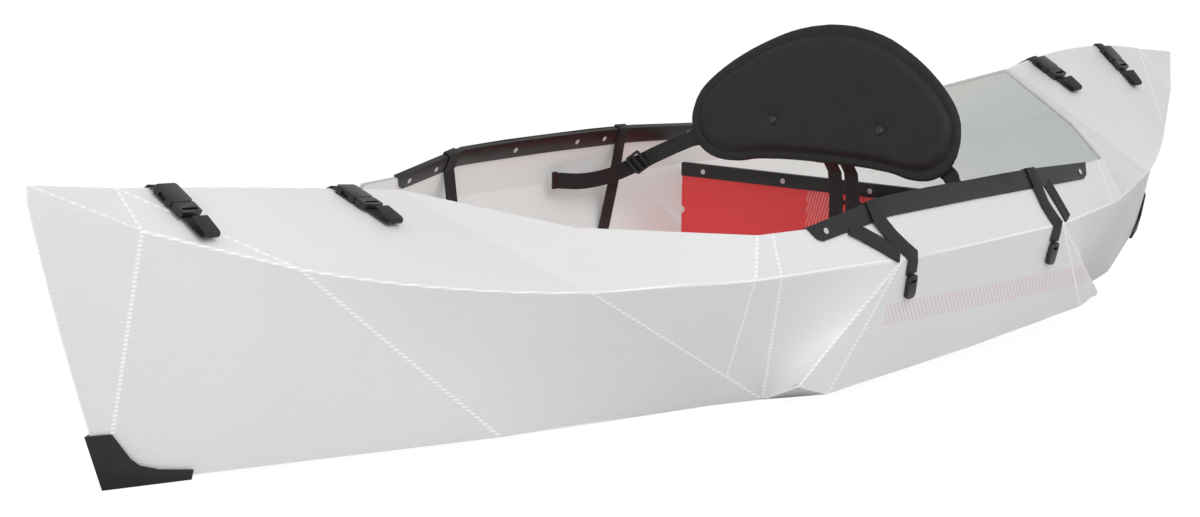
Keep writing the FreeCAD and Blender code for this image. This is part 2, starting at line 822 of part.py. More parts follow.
CROSS_WIDTH = "2 * (sizes.half_beam - sizes.bulkhead_inset)"
play, wall = size("rail_play"), size("rail_wall")
rail_outer = bound_box("CrossRailOuter", "sizes.floor_wall + 2 * sizes.rail_play"
                       " + 2 * sizes.rail_wall", CROSS_WIDTH,
                       "sizes.cross_rail_drop")
rail_slot = bound_box("CrossRailSlot", "sizes.floor_wall + 2 * sizes.rail_play",
                      CROSS_WIDTH + " + 20", "sizes.cross_rail_drop")
rail_slot.Placement.Base = Vector(wall, -10, -wall)
cross_rail = document.addObject("Part::Cut", "CrossRail")
cross_rail.Base = rail_outer
cross_rail.Tool = rail_slot
cross_low = size("bulkhead_top") + play + wall - size("cross_rail_drop")
keep(cross_rail, "bulkhead_rail", FreeCAD.Placement(
    Vector(station - play - wall, -bulkhead_half, cross_low), FreeCAD.Rotation()))
cross_heads = []
for share in (-0.88, -0.45, 0.0, 0.45, 0.88):
    y = share * bulkhead_half
    z = cross_low + size("cross_rail_drop") * 0.45
    cross_heads.append(rivet(Vector(station - play - wall - 0.05, y, z), AFT * -1))
    cross_heads.append(rivet(Vector(station + size("floor_wall") + play + wall + 0.05, y, z),
                             AFT))
keep_shape(Part.makeCompound(cross_heads), "bulkhead_rivets")


# Backrest: a stiff back panel and a padded front, hung on webbing at its lower edge

lean = math.radians(size("back_lean"))
back_up = Vector(math.sin(lean), 0, math.cos(lean))
back_front = Vector(-math.cos(lean), 0, math.sin(lean))


def back_outline(inset):
    """The kidney outline, drawn in by the inset towards its middle."""
    height, arch = size("back_height"), size("back_arch")
    half = [(0, arch), (size("back_hollow_half"), arch + 1), (size("back_heel_half"), 0),
            (size("back_half") - 11, height * 0.15), (size("back_half"), height * 0.325),
            (size("back_shoulder_half"), height * 0.58),
            (size("back_crown_half"), height * 0.86)]
    full = half + [(0, height)] + [(-y, v) for y, v in half[:0:-1]]
    middle = height * 0.46
    spots = []
    for y, v in full:
        away = math.hypot(y, v - middle)
        share = 1 - inset / away
        spots.append((y * share, middle + (v - middle) * share))
    return spots


back_origin = Vector(size("back_station"), 0, size("back_foot_rise"))
back_frame = frame_at(back_origin, Vector(0, 1, 0), back_up)
if back_frame.Rotation.multVec(UP).dot(back_front) < 0:
    back_frame = frame_at(back_origin, Vector(0, -1, 0), back_up)
back_thick = size("back_thick")
pad_levels = ((-back_thick, 7), (-back_thick * 0.75, 1), (-back_thick * 0.35, 0),
              (-back_thick * 0.1, 6), (0, 18))
keep_shape(crowned_pad(back_outline, pad_levels), "backrest_pad", back_frame)
panel_back = -back_thick - size("back_panel")
panel_levels = ((panel_back, size("back_inset")), (-back_thick, size("back_inset")))
keep_shape(crowned_pad(back_outline, panel_levels), "backrest_panel", back_frame)
button_heads = []
for out in SIDES.values():
    head = Part.makeCylinder(size("button_radius"), size("button_head"))
    head = head.makeFillet(size("button_head") * 0.45, [head.Edges[0]])
    head.translate(Vector(out * size("button_half"), size("back_height") - size("button_rise")
                          - 60, size("web_seat")))
    button_heads.append(head)
keep_shape(Part.makeCompound(button_heads), "backrest_buttons", back_frame)

# Webbing: V shaped wraps over the gunwale rails


def ribbon(spots, width=None):
    """Webbing through spots of a point and the way that its outer face looks."""
    stations = []
    for i, (point, way) in enumerate(spots):
        ahead = spots[min(i + 1, len(spots) - 1)][0]
        behind = spots[max(i - 1, 0)][0]
        along = unit(ahead - behind)
        across = along.cross(way)
        stations.append((point, across, across.cross(along)))
    return band(stations, size("web_width") if width is None else width, size("web_thick"))


def wing_spot(side, end, reach, share, lift):
    """A spot over the outer face of a cockpit wing, share of the way from edge to sheer."""
    points, rows = quarter(end, side)
    x = ENDS[end] * reach
    edge_row, foot_row = rows["edge"], rows["edge_foot"]

    def at_x(row):
        for near, far in zip(row[:-1], row[1:]):
            if min(near.x, far.x) <= x <= max(near.x, far.x):
                return between(near, far, (x - near.x) / (far.x - near.x))
        raise ValueError(f"{x} is off the row")

    edge, foot = at_x(edge_row), at_x(foot_row)
    place = between(edge, foot, share)
    point, normal = side_at(f"cockpit_wing_{side}", place.x, place.z)
    return point + normal * lift, normal


def wall_spot(side, x, rise, lift):
    """A spot over the outer face of the hull's side amidships, or inside it."""
    point, normal = side_at(f"middle_side_{side}", x, rise)
    return point + normal * lift, normal


def rail_ring_at(side, x):
    rings = rails[side]
    for near, far in zip(rings[:-1], rings[1:]):
        if near[1].x <= x <= far[1].x:
            share = (x - near[1].x) / (far[1].x - near[1].x)
            ring = [between(p, q, share) for p, q in zip(near, far)]
            return ring, unit(far[1] - near[1])
    raise ValueError(f"{x} is off the rail")


def wrap_strap(side, end):
    """One long leg from the inner side over the rail to the sheer, and a short brace leg."""
    seat = size("web_seat") + 0.3
    aft = ENDS[end]

    def own(name):
        return size(f"{end}_wrap_{name}")

    ring, run = rail_ring_at(side, aft * own("reach"))
    up = ring[1] - ring[0]
    up = unit(up - run * up.dot(run))
    outside = run.cross(up)
    if outside.y * SIDES[side] < 0:
        outside = outside * -1
    inside = outside * -1
    x_hang = aft * (own("reach") - size("wrap_hang_drift"))
    hang, hang_way = wall_spot(side, x_hang, size("wrap_hang_rise"), 0)
    hang_clear = size("sheet_wall") + 3.0
    low_in = ring[3] + inside * seat
    spots = [(hang - hang_way * hang_clear, hang_way * -1),
             (between(hang - hang_way * (hang_clear + 4), low_in, 0.55), hang_way * -1),
             (low_in, inside),
             (ring[2] + inside * seat, inside),
             (ring[2] + (inside + up) * seat, inside + up),
             (ring[2] + up * seat - inside * 0.4, up),
             (ring[1] + up * seat - outside * 0.4, up),
             (ring[1] + (outside + up) * seat, outside + up),
             (ring[1] + outside * seat - up * 0.4, outside)]
    reach = own("reach")
    low_out = ring[0] + outside * seat
    spots.append((low_out, outside))
    for share in (0.62, 0.85):
        step = (share - 0.42) / 0.58
        spots.append(wing_spot(side, end, reach + (own("sheer_reach") - reach) * step, share,
                               seat + 0.9))
    x_sheer = aft * own("sheer_reach")
    top, wing_way = wing_spot(side, end, own("sheer_reach"), 0.985, 0)
    under, wall_way = wall_spot(side, x_sheer, top.z - 3, 0)
    spots.append((top + unit(wing_way + wall_way) * (seat + 0.8), unit(wing_way + wall_way)))
    for drop in (10, 24):
        spots.append(wall_spot(side, x_sheer - aft * drop * 0.1, top.z - drop, seat + 0.2))
    long_leg = ribbon(spots)

    brace = []
    for share in (0.46, 0.7, 0.94):
        step = (share - 0.42) / 0.52
        reach = own("brace_reach") + (own("knot_reach") - own("brace_reach")) * step
        brace.append(wing_spot(side, end, reach, share, seat + 0.6))
    short_leg = ribbon(brace, size("web_width") * 0.9).cut(long_leg)
    last, way = spots[-1]
    return long_leg, short_leg, (last, unit(spots[-1][0] - spots[-2][0]), way)


def rounded_plate(length, width, thick, radius):
    """A plate that starts at the origin and runs along X, its upright corners rounded."""
    plate = Part.makeBox(length, width, thick, Vector(0, -width / 2, 0))
    upright = [edge for edge in plate.Edges
               if abs(edge.tangentAt(edge.FirstParameter).z) > 0.9]
    return plate.makeFillet(radius, upright)


def hook_at(spot, along, way):
    """The moulded end hook of a wrap, with a slot for its webbing."""
    length, width, thick = size("hook_length"), size("hook_width"), size("hook_thick")
    plate = rounded_plate(length, width, thick, width * 0.35)
    slot = Part.makeBox(4.0, width * 0.62, thick, Vector(7.0, -width * 0.31, 0))
    plate = plate.cut(slot)
    plate.Placement = frame_at(spot + unit(along) * size("web_seat") + unit(way) * 0.3,
                               along, unit(way).cross(unit(along)))
    return plate


hooks = []
for side in SIDES:
    for end in ENDS:
        long_leg, short_leg, end_spot = wrap_strap(side, end)
        keep_shape(Part.makeCompound([long_leg, short_leg]), f"{end}_wrap_{side}")
        hooks.append(hook_at(*end_spot))
keep_shape(Part.makeCompound(hooks), "wrap_hooks")


# Deck straps: an anchored web, a buckle socket, and a latch with its folded tail

DECK_STRAPS = (("bow", "tip"), ("bow", "apex"), ("stern", "apex"), ("stern", "tip"))


def deck_spot(end, x, y, lift=0.0):
    side = "port" if y < 0 else "starboard"
    point, normal = surface_at(f"{end}_deck_{side}", x, y)
    return point + normal * lift, normal


def strap_frame(end, name):
    """The frame of one buckle: X down the port deck, Z off the deck, clear of any bulge."""
    x = ENDS[end] * size(f"{end}_{name}_strap_reach")
    head = deck_spot(end, x, -size("socket_start"))[0]
    foot = deck_spot(end, x, -size("socket_start") - 60)[0]
    along = unit(foot - head)
    fore, behind = deck_spot(end, x + 12, -30)[0], deck_spot(end, x - 12, -30)[0]
    across = unit(fore - behind)
    normal = unit(across.cross(along))
    if normal.z < 0:
        normal = normal * -1
    bulge = max((deck_spot(end, x + dx, head.y - dy)[0] - head).dot(normal)
                for dx in (-17, 0, 17) for dy in (0, 15, 30, 45, 60, 75))
    origin = head + normal * (bulge + size("web_seat"))
    return frame_at(origin, along, normal.cross(along))


def socket_shape():
    length, width, thick = size("socket_length"), size("socket_width"), size("socket_thick")
    wall = size("socket_wall")
    body = rounded_plate(length, width, thick, 4.0)
    body = body.cut(Part.makeBox(length, width - 2 * wall, thick - 2 * wall,
                                 Vector(6.0, wall - width / 2, wall)))
    window = Part.makeBox(12.0, width + 2, thick - 2 * wall - 1,
                          Vector(length - 22.0, -width / 2 - 1, wall + 0.5))
    return body.cut(window)


def latch_shape():
    """The pushed-in half: two prongs, a guide tongue and a base with a bar for the web."""
    start, base, width = size("socket_length") + 0.3, size("latch_base"), size("socket_width")
    thick, wall, play = size("socket_thick"), size("socket_wall"), size("latch_play")
    body = rounded_plate(base, width, thick - 1.0, 3.0)
    body.translate(Vector(start, 0, 0.5))
    slot = Part.makeBox(4.0, width - 9, thick, Vector(start + base - 8.0, 4.5 - width / 2, 0))
    pieces = [body.cut(slot)]
    inner_half = width / 2 - wall - play
    prong = size("latch_prong")
    for out in (-1, 1):
        low = inner_half - size("latch_prong_width") if out > 0 else -inner_half
        pieces.append(Part.makeBox(prong + 4, size("latch_prong_width"),
                                   thick - 2 * wall - 2 * play,
                                   Vector(start - prong, low, wall + play)))
    guide = size("latch_guide_width")
    pieces.append(Part.makeBox(size("latch_guide") + 4, guide, thick - 2 * wall - 2 * play,
                               Vector(start - size("latch_guide"), -guide / 2, wall + play)))
    return pieces[0].multiFuse(pieces[1:])


def tail_shape():
    """The loose end behind the latch: it runs on, curls over and comes back on itself."""
    start = size("socket_length") + size("latch_base") + 0.6
    run, curl, back = size("tail_length"), size("tail_curl"), size("tail_return")
    spots = [(Vector(start, 0, 1.0), UP), (Vector(start + run * 0.5, 0, 0.2), UP),
             (Vector(start + run, 0, 0.2), UP)]
    for degrees in (45, 90, 135, 180):
        turn = math.radians(degrees)
        way = Vector(-math.sin(turn), 0, math.cos(turn))
        spots.append((Vector(start + run, 0, 0.2 + curl) - way * curl, way))
    spots.append((Vector(start + run - back, 0, 0.2 + 2 * curl + 2.5), Vector(0.1, 0, -1)))
    return ribbon(spots)


def deck_station(end, x, y, lift):
    """A station of webbing across a deck, tilted with the deck's own twist."""
    half = size("web_width") / 2
    fore, behind = deck_spot(end, x + half, y)[0], deck_spot(end, x - half, y)[0]
    middle, normal = deck_spot(end, x, y)
    low = (fore + behind) / 2
    return low + normal * (max(0, (middle - low).dot(normal)) + lift), fore - behind, normal


anchors = []
for end, name in DECK_STRAPS:
    placement = strap_frame(end, name)
    keep_shape(socket_shape(), f"{end}_{name}_buckle_socket", placement)
    keep_shape(latch_shape(), f"{end}_{name}_buckle_latch", placement)
    keep_shape(tail_shape(), f"{end}_{name}_strap_tail", placement)
    x = ENDS[end] * size(f"{end}_{name}_strap_reach")
    drop = size("anchor_drop")
    seat = size("web_seat") + 0.3
    stations = [deck_station(end, x, drop * share, seat)
                for share in (1.0, 0.8, 0.6, 0.4, 0.22, 0.05)]
    fore, behind = deck_spot(end, x + 12, 0.01)[0], deck_spot(end, x - 12, 0.01)[0]
    ridge = deck_spot(end, x, 0.01)[0]
    top = max(ridge.z, (fore.z + behind.z) / 2)
    stations.append((Vector(x, 0, top + seat + 0.9), fore - behind, UP))
    port_start = placement.Base + placement.Rotation.multVec(AFT) * -1.2
    way = placement.Rotation.multVec(UP)
    stations.append((port_start + way * 2.5, fore - behind, way))
    anchors.append(band(stations, size("web_width"), size("web_thick")))
    axis = placement.Rotation.multVec(AFT)
    print(f"{end}_{name} latch slides along {axis.x:.4f} {axis.y:.4f} {axis.z:.4f}")
keep_shape(Part.makeCompound(anchors), "deck_strap_anchors")


# Backrest straps: two that reach down to the floor, and one to each side

hinge = back_origin + back_up * size("back_arch") + back_front * panel_back
print(f"backrest turns at {hinge.x:.2f} {hinge.z:.2f}")
lower_x = size("lower_strap_station")


def lower_strap(y):
    spots = [(Vector(hinge.x + 1.2, y, hinge.z + 3), UP),
             (Vector(lower_x - 18, y, hinge.z), UP + AFT * 0.4),
             (Vector(lower_x - 6, y, hinge.z - 14), UP * 0.4 + AFT),
             (Vector(lower_x, y, hinge.z - 50), AFT),
             (Vector(lower_x + 2, y, floor_top + 26), AFT),
             (Vector(lower_x + 6, y, floor_top + 8), UP * 0.5 + AFT),
             (Vector(lower_x + 16, y, floor_top + 0.35), UP),
             (Vector(lower_x + 34, y, floor_top + 0.35), UP)]
    return ribbon(spots)


lower_half = size("lower_strap_half")
lower_straps = [lower_strap(out * lower_half) for out in SIDES.values()]
keep_shape(Part.makeCompound(lower_straps), "backrest_lower_straps")


def ladder_lock():
    """A flat frame with two slots and a middle bar, centred on the origin."""
    length, width, thick = size("lock_length"), size("lock_width"), size("lock_thick")
    plate = rounded_plate(length, width, thick, 4.0)
    plate.translate(Vector(-length / 2, 0, 0))
    opening = (length - 3 * size("lock_bar")) / 2
    for start in (-length / 2 + size("lock_bar"), size("lock_bar") / 2):
        plate = plate.cut(Part.makeBox(opening, width - 8, thick,
                                       Vector(start, 4 - width / 2, 0)))
    return plate


lower_locks = []
for strap, out in zip(lower_straps, SIDES.values()):
    lock = rounded_plate(9.0, size("web_width"), 5.0, 2.0)
    lock.translate(Vector(-4.5, 0, 0))
    lock.Placement = frame_at(Vector(lower_x + 3.4, out * lower_half, size("lower_lock_rise")),
                              UP, Vector(0, -1, 0)).multiply(lock.Placement)
    lower_locks.append(lock)
keep_shape(Part.makeCompound(lower_locks), "lower_strap_keepers")

side_locks = []
for side, out in SIDES.items():
    flank = abs(rail_ring_at(side, size("lock_station"))[0][3].y)
    lock_half = flank - size("lock_inset")
    lock_spot = Vector(size("lock_station"), out * lock_half, size("lock_rise"))
    last = Vector(size("strap_end_station"), out * (lock_half + size("strap_end_flare")),
                  size("strap_end_rise"))
    inward = Vector(0, -out, 0)
    forward = AFT * -1
    first = back_origin - back_front * (back_thick * 0.35)
    first += back_up * ((size("side_strap_rise") - first.z) / back_up.z)
    first.y = out * (size("back_half") + 1.5)
    sewn = first + Vector(0, out * size("side_strap_stitch"), 0)
    bend = unit(inward + forward)
    spots = [(first, forward), (sewn, forward),
             (between(sewn, lock_spot, 0.5) - UP * 3, forward),
             (lock_spot, bend), (between(lock_spot, last, 0.3) - UP * 9, inward),
             (between(lock_spot, last, 0.65) - UP * 9, inward), (last, inward)]
    tab = rounded_plate(9.0, size("web_width") + 2, 3.4, 1.5)
    along = unit(last - spots[-2][0])
    tab.Placement = frame_at(last + along * 0.4 + inward * -0.9, along, inward.cross(along))
    keep_shape(Part.makeCompound([ribbon(spots), tab]), f"backrest_strap_{side}")
    along = unit(lock_spot - spots[2][0])
    lock = ladder_lock()
    way = unit(bend - along * bend.dot(along))
    back = size("lock_length") / 2 + 4.0
    lock.Placement = frame_at(lock_spot - along * back + way * (size("web_thick") + 2.7), along,
                              way.cross(along))
    side_locks.append(lock)
keep_shape(Part.makeCompound(side_locks), "strap_slides")

document.recompute()
os.makedirs("parts", exist_ok=True)
for item in document.Objects:
    if "Invalid" in item.State or "Error" in item.State:
        raise RuntimeError(f"{item.Name} failed: {item.State}")
for item in sub_parts:
    shape = item.Shape
    if shape.isNull() or not shape.isValid():
        raise RuntimeError(f"{item.Label} has no valid shape")
    shape.exportStep(os.path.join("parts", item.Label + ".step"))
    print(f"{item.Label}: {len(shape.Solids)} solids, {shape.Volume:.0f} cubic millimetres")
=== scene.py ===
# %% [markdown]
# Folding kayak: a boat creased out of one sheet of white double-wall plastic.
# The imported solids come in first as a fixed frame. Every piece that is added below, save the
# two side straps, rides on one of its bodies, so that a backrest or a buckle can move without the
# scene being edited.

# %% Load the frame
import math

import bmesh
import bpy
import numpy as np
from mathutils import Matrix, Vector


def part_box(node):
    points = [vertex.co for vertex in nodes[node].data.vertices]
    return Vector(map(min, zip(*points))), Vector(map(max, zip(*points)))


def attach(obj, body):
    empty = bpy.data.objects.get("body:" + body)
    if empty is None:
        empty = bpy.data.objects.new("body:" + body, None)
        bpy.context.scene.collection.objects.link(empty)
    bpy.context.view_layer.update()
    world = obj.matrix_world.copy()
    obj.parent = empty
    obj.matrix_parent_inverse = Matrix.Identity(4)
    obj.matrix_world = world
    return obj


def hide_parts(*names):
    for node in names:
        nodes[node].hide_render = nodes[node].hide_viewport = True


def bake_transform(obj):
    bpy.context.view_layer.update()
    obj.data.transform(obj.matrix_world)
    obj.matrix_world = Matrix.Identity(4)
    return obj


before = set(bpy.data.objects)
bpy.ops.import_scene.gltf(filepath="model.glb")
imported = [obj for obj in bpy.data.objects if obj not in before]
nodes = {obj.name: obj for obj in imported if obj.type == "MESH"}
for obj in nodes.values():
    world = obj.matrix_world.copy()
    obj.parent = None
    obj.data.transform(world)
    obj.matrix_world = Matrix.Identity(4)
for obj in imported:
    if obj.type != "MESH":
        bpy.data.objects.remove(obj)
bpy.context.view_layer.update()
scene = bpy.context.scene
scene.view_settings.view_transform = "Standard"
HULL_BODY = "hull"

# %% [markdown]
# The camera was worked out from the boat itself: its length, its beam and the matching folds of
# both ends fix where the photographer stood. A long lens from a little above the bow gives the
# gentle convergence that the picture has.

# %% Camera
CAMERA_SPOT = Vector((-3.36653469, -2.32086547, 0.79773905))
CAMERA_YAW, CAMERA_PITCH, CAMERA_ROLL = (math.radians(a) for a in (37.5718, -9.6458, 0.7829))
FOCAL_PIXELS, FRAME_PIXELS, SENSOR = 2800.89, 1200.0, 36.0
forward = Vector((math.cos(CAMERA_PITCH) * math.cos(CAMERA_YAW),
                  math.cos(CAMERA_PITCH) * math.sin(CAMERA_YAW), math.sin(CAMERA_PITCH)))
level_right = forward.cross(Vector((0, 0, 1))).normalized()
level_up = level_right.cross(forward)
right = level_right * math.cos(CAMERA_ROLL) + level_up * math.sin(CAMERA_ROLL)
up = level_up * math.cos(CAMERA_ROLL) - level_right * math.sin(CAMERA_ROLL)
lens_data = bpy.data.cameras.new("camera")
lens_data.sensor_width = SENSOR
lens_data.lens = SENSOR * FOCAL_PIXELS / FRAME_PIXELS
camera = bpy.data.objects.new("camera", lens_data)
axes = Matrix((right, up, -forward)).transposed()
camera.matrix_world = Matrix.Translation(CAMERA_SPOT) @ axes.to_4x4()
scene.collection.objects.link(camera)
scene.camera = camera
print("lens", round(lens_data.lens, 2), "mm")

# %% [markdown]
# White plastic on a white ground only reads if the light is soft and comes mostly from above:
# decks stay bright, and the sides fall off towards the chine. The ground is kept near white for
# the camera alone, so no lamp has to be turned up for it.

# %% Light and ground
KEY_STRENGTH, FILL_STRENGTH, SKY_STRENGTH = 53.0, 18.0, 0.63


def area_light(name, spot, target, width, strength):
    """A square soft box at spot that faces target."""
    lamp = bpy.data.lights.new(name, "AREA")
    lamp.size = width
    lamp.energy = strength
    item = bpy.data.objects.new(name, lamp)
    aim = (Vector(target) - Vector(spot)).to_track_quat("-Z", "Y")
    item.matrix_world = Matrix.Translation(spot) @ aim.to_matrix().to_4x4()
    scene.collection.objects.link(item)
    return item


area_light("key", (-1.2, -3.0, 3.5), (0.1, 0, 0.2), 3.0, KEY_STRENGTH)
area_light("fill", (-4.0, -0.6, 1.4), (-0.6, 0, 0.2), 2.4, FILL_STRENGTH)

world = bpy.data.worlds.new("studio")
world.use_nodes = True
scene.world = world
tree = world.node_tree
tree.nodes.clear()
output = tree.nodes.new("ShaderNodeOutputWorld")
sky = tree.nodes.new("ShaderNodeBackground")
sky.inputs["Color"].default_value = (1.0, 1.0, 1.0, 1)
sky.inputs["Strength"].default_value = SKY_STRENGTH
seen = tree.nodes.new("ShaderNodeBackground")
seen.inputs["Strength"].default_value = 1.0
choice = tree.nodes.new("ShaderNodeMixShader")
rays = tree.nodes.new("ShaderNodeLightPath")
tree.links.new(rays.outputs["Is Camera Ray"], choice.inputs["Fac"])
tree.links.new(sky.outputs[0], choice.inputs[1])
tree.links.new(seen.outputs[0], choice.inputs[2])
tree.links.new(choice.outputs[0], output.inputs["Surface"])

GROUND_HALF = 30.0
ground_mesh = bpy.data.meshes.new("ground")
corners = [(-GROUND_HALF, -GROUND_HALF, 0), (GROUND_HALF, -GROUND_HALF, 0),
           (GROUND_HALF, GROUND_HALF, 0), (-GROUND_HALF, GROUND_HALF, 0)]
ground_mesh.from_pydata([(x, y, -0.0005) for x, y, z in corners], [], [(0, 1, 2, 3)])
ground = bpy.data.objects.new("ground", ground_mesh)
scene.collection.objects.link(ground)
paper = bpy.data.materials.new("white_paper")
paper.use_nodes = True
tree = paper.node_tree
tree.nodes.clear()
output = tree.nodes.new("ShaderNodeOutputMaterial")
matt = tree.nodes.new("ShaderNodeBsdfDiffuse")
matt.inputs["Color"].default_value = (0.74, 0.74, 0.74, 1)
glow = tree.nodes.new("ShaderNodeEmission")
glow.inputs["Color"].default_value = (1, 1, 1, 1)
glow.inputs["Strength"].default_value = 1.12
half = tree.nodes.new("ShaderNodeMixShader")
half.inputs["Fac"].default_value = 0.86
choice = tree.nodes.new("ShaderNodeMixShader")
rays = tree.nodes.new("ShaderNodeLightPath")
tree.links.new(matt.outputs[0], half.inputs[1])
tree.links.new(glow.outputs[0], half.inputs[2])
tree.links.new(rays.outputs["Is Camera Ray"], choice.inputs["Fac"])
tree.links.new(matt.outputs[0], choice.inputs[1])
tree.links.new(half.outputs[0], choice.inputs[2])
tree.links.new(choice.outputs[0], output.inputs["Surface"])
ground_mesh.materials.append(paper)
print("lights", KEY_STRENGTH, FILL_STRENGTH, "sky", SKY_STRENGTH)

# %% [markdown]
# Finishes. The hull is satin polypropylene whose inner webs, the flutes, show as faint lines
# along the boat. Two effects serve several finishes, so each is a node group: parallel lines,
# and a slow mottle that keeps large surfaces from looking like one flat colour.

# %% Node groups


def new_group(name, inputs, outputs):
    """An empty shader group with named sockets, and its two end nodes."""
    group = bpy.data.node_groups.new(name, "ShaderNodeTree")
    for label, kind, value in inputs:
        socket = group.interface.new_socket(label, in_out="INPUT", socket_type=kind)
        if value is not None:
            socket.default_value = value
    for label, kind in outputs:
        group.interface.new_socket(label, in_out="OUTPUT", socket_type=kind)
    return group, group.nodes.new("NodeGroupInput"), group.nodes.new("NodeGroupOutput")


def add_math(tree, operation, first, second=None, third=None):
    """One Math node, its inputs either numbers or sockets."""
    node = tree.nodes.new("ShaderNodeMath")
    node.operation = operation
    for i, value in enumerate((first, second, third)):
        if value is None:
            continue
        if isinstance(value, (int, float)):
            node.inputs[i].default_value = value
        else:
            tree.links.new(value, node.inputs[i])
    return node.outputs[0]


def lines_group():
    """Height of parallel rounded ribs: half a cosine of the place across them over the pitch."""
    group, start, end = new_group(
        "ribs", [("Place", "NodeSocketFloat", 0.0), ("Pitch", "NodeSocketFloat", 0.004)],
        [("Height", "NodeSocketFloat")])
    turns = add_math(group, "DIVIDE", start.outputs["Place"], start.outputs["Pitch"])
    wave = add_math(group, "COSINE", add_math(group, "MULTIPLY", turns, 2 * math.pi))
    group.links.new(add_math(group, "MULTIPLY_ADD", wave, 0.5, 0.5), end.inputs["Height"])
    return group


def mottle_group():
    """A mask around one half, from noise at the given scale, pulled by the given contrast."""
    group, start, end = new_group(
        "mottle", [("Scale", "NodeSocketFloat", 8.0), ("Contrast", "NodeSocketFloat", 0.5)],
        [("Mask", "NodeSocketFloat")])
    place = group.nodes.new("ShaderNodeTexCoord")
    noise = group.nodes.new("ShaderNodeTexNoise")
    noise.inputs["Detail"].default_value = 3.0
    group.links.new(place.outputs["Object"], noise.inputs["Vector"])
    group.links.new(start.outputs["Scale"], noise.inputs["Scale"])
    low = add_math(group, "SUBTRACT", noise.outputs["Fac"], 0.5)
    spread = add_math(group, "MULTIPLY", low, start.outputs["Contrast"])
    group.links.new(add_math(group, "ADD", spread, 0.5), end.inputs["Mask"])
    return group


ribs = lines_group()
mottle = mottle_group()
print("groups", [group.name for group in bpy.data.node_groups])

# %% Materials of the boat


def new_material(name, **sockets):
    """A Principled material whose plain sockets are set to the given values."""
    material = bpy.data.materials.new(name)
    material.use_nodes = True
    shader = material.node_tree.nodes["Principled BSDF"]
    for label, value in sockets.items():
        shader.inputs[label.replace("_", " ")].default_value = value
    return material, material.node_tree, shader


def use_group(tree, group, **values):
    """A node of the group; a plain number sets its input and anything else is linked to it."""
    node = tree.nodes.new("ShaderNodeGroup")
    node.node_tree = group
    for label, value in values.items():
        if isinstance(value, (int, float)):
            node.inputs[label].default_value = value
        else:
            tree.links.new(value, node.inputs[label])
    return node


def tint_between(tree, shader, mask, dark, light):
    """Base Color that runs from dark to light as the mask goes from 0 to 1."""
    blend = tree.nodes.new("ShaderNodeMix")
    blend.data_type = "RGBA"
    blend.inputs["A"].default_value = (*dark, 1)
    blend.inputs["B"].default_value = (*light, 1)
    tree.links.new(mask, blend.inputs["Factor"])
    tree.links.new(blend.outputs["Result"], shader.inputs["Base Color"])


def bump_from(tree, shader, height, strength, distance):
    """Relief by the shading normal: the height is scaled by strength and distance in metres."""
    bump = tree.nodes.new("ShaderNodeBump")
    bump.inputs["Strength"].default_value = strength
    bump.inputs["Distance"].default_value = distance
    tree.links.new(height, bump.inputs["Height"])
    tree.links.new(bump.outputs["Normal"], shader.inputs["Normal"])
    return bump


def object_place(tree):
    """X, Y and Z of the surface point in the boat's own frame."""
    place = tree.nodes.new("ShaderNodeTexCoord")
    split = tree.nodes.new("ShaderNodeSeparateXYZ")
    tree.links.new(place.outputs["Object"], split.inputs[0])
    return split.outputs


def sheet_material(name, dark, light, roughness, along="side"):
    """Fluted plastic: ribs across Z on upright panels, or across Y on level ones."""
    material, tree, shader = new_material(name, Roughness=roughness, IOR=1.49)
    spot = object_place(tree)
    place = spot[2] if along == "side" else spot[1]
    rib = use_group(tree, ribs, Place=place, Pitch=0.0046)
    cloud = use_group(tree, mottle, Scale=5.0, Contrast=1.2)
    mixed = add_math(tree, "MULTIPLY_ADD", rib.outputs["Height"], 0.25, cloud.outputs["Mask"])
    tint_between(tree, shader, add_math(tree, "SUBTRACT", mixed, 0.12), dark, light)
    bump_from(tree, shader, rib.outputs["Height"], 0.16, 0.0004)
    return material


def painted_glow(material, colour, strength):
    """A faint painted glow: emission that stands in for the daylight that thin double-wall sheet
    lets through.
    """
    sockets = material.node_tree.nodes["Principled BSDF"].inputs
    sockets["Emission Color"].default_value = (*colour, 1)
    sockets["Emission Strength"].default_value = strength


outer_sheet = sheet_material("outer_sheet", (0.84, 0.84, 0.845), (0.90, 0.90, 0.90), 0.36)
deck_sheet = sheet_material("deck_sheet", (0.84, 0.84, 0.845), (0.90, 0.90, 0.90), 0.36,
                            "deck")
inner_sheet = sheet_material("inner_sheet", (0.77, 0.80, 0.79), (0.84, 0.87, 0.86), 0.45)
# Painted light: the inner face glows faintly, in place of daylight coming through the wall.
painted_glow(inner_sheet, (0.95, 1.0, 0.98), 0.12)

# Painted highlight on the scored folds: each bead's crest is coloured lighter and glows faintly,
# for the light that the beads catch. The milky white under it is the fold's own colour.
PAINTED_BEAD_GLOW = 0.13
score_sheet, tree, shader = new_material("score_sheet", Roughness=0.42, IOR=1.49)
spot = object_place(tree)
bead = use_group(tree, ribs, Place=spot[2], Pitch=0.0052)
bead_mask = add_math(tree, "POWER", bead.outputs["Height"], 1.6)
tint_between(tree, shader, bead_mask, (0.88, 0.88, 0.88), (0.99, 0.99, 0.99))
painted_bead_glow = add_math(tree, "MULTIPLY_ADD", bead_mask, 0.1 / PAINTED_BEAD_GLOW, 0.03 / PAINTED_BEAD_GLOW)
tree.links.new(painted_bead_glow, shader.inputs["Emission Color"])
shader.inputs["Emission Strength"].default_value = PAINTED_BEAD_GLOW
bump_from(tree, shader, bead.outputs["Height"], 0.5, 0.0008)
red_sheet = sheet_material("red_sheet", (0.84, 0.05, 0.053), (0.92, 0.065, 0.07), 0.38)
# Painted light: the red sheet glows faintly red, in place of daylight coming through it.
painted_glow(red_sheet, (1.0, 0.05, 0.06), 0.05)


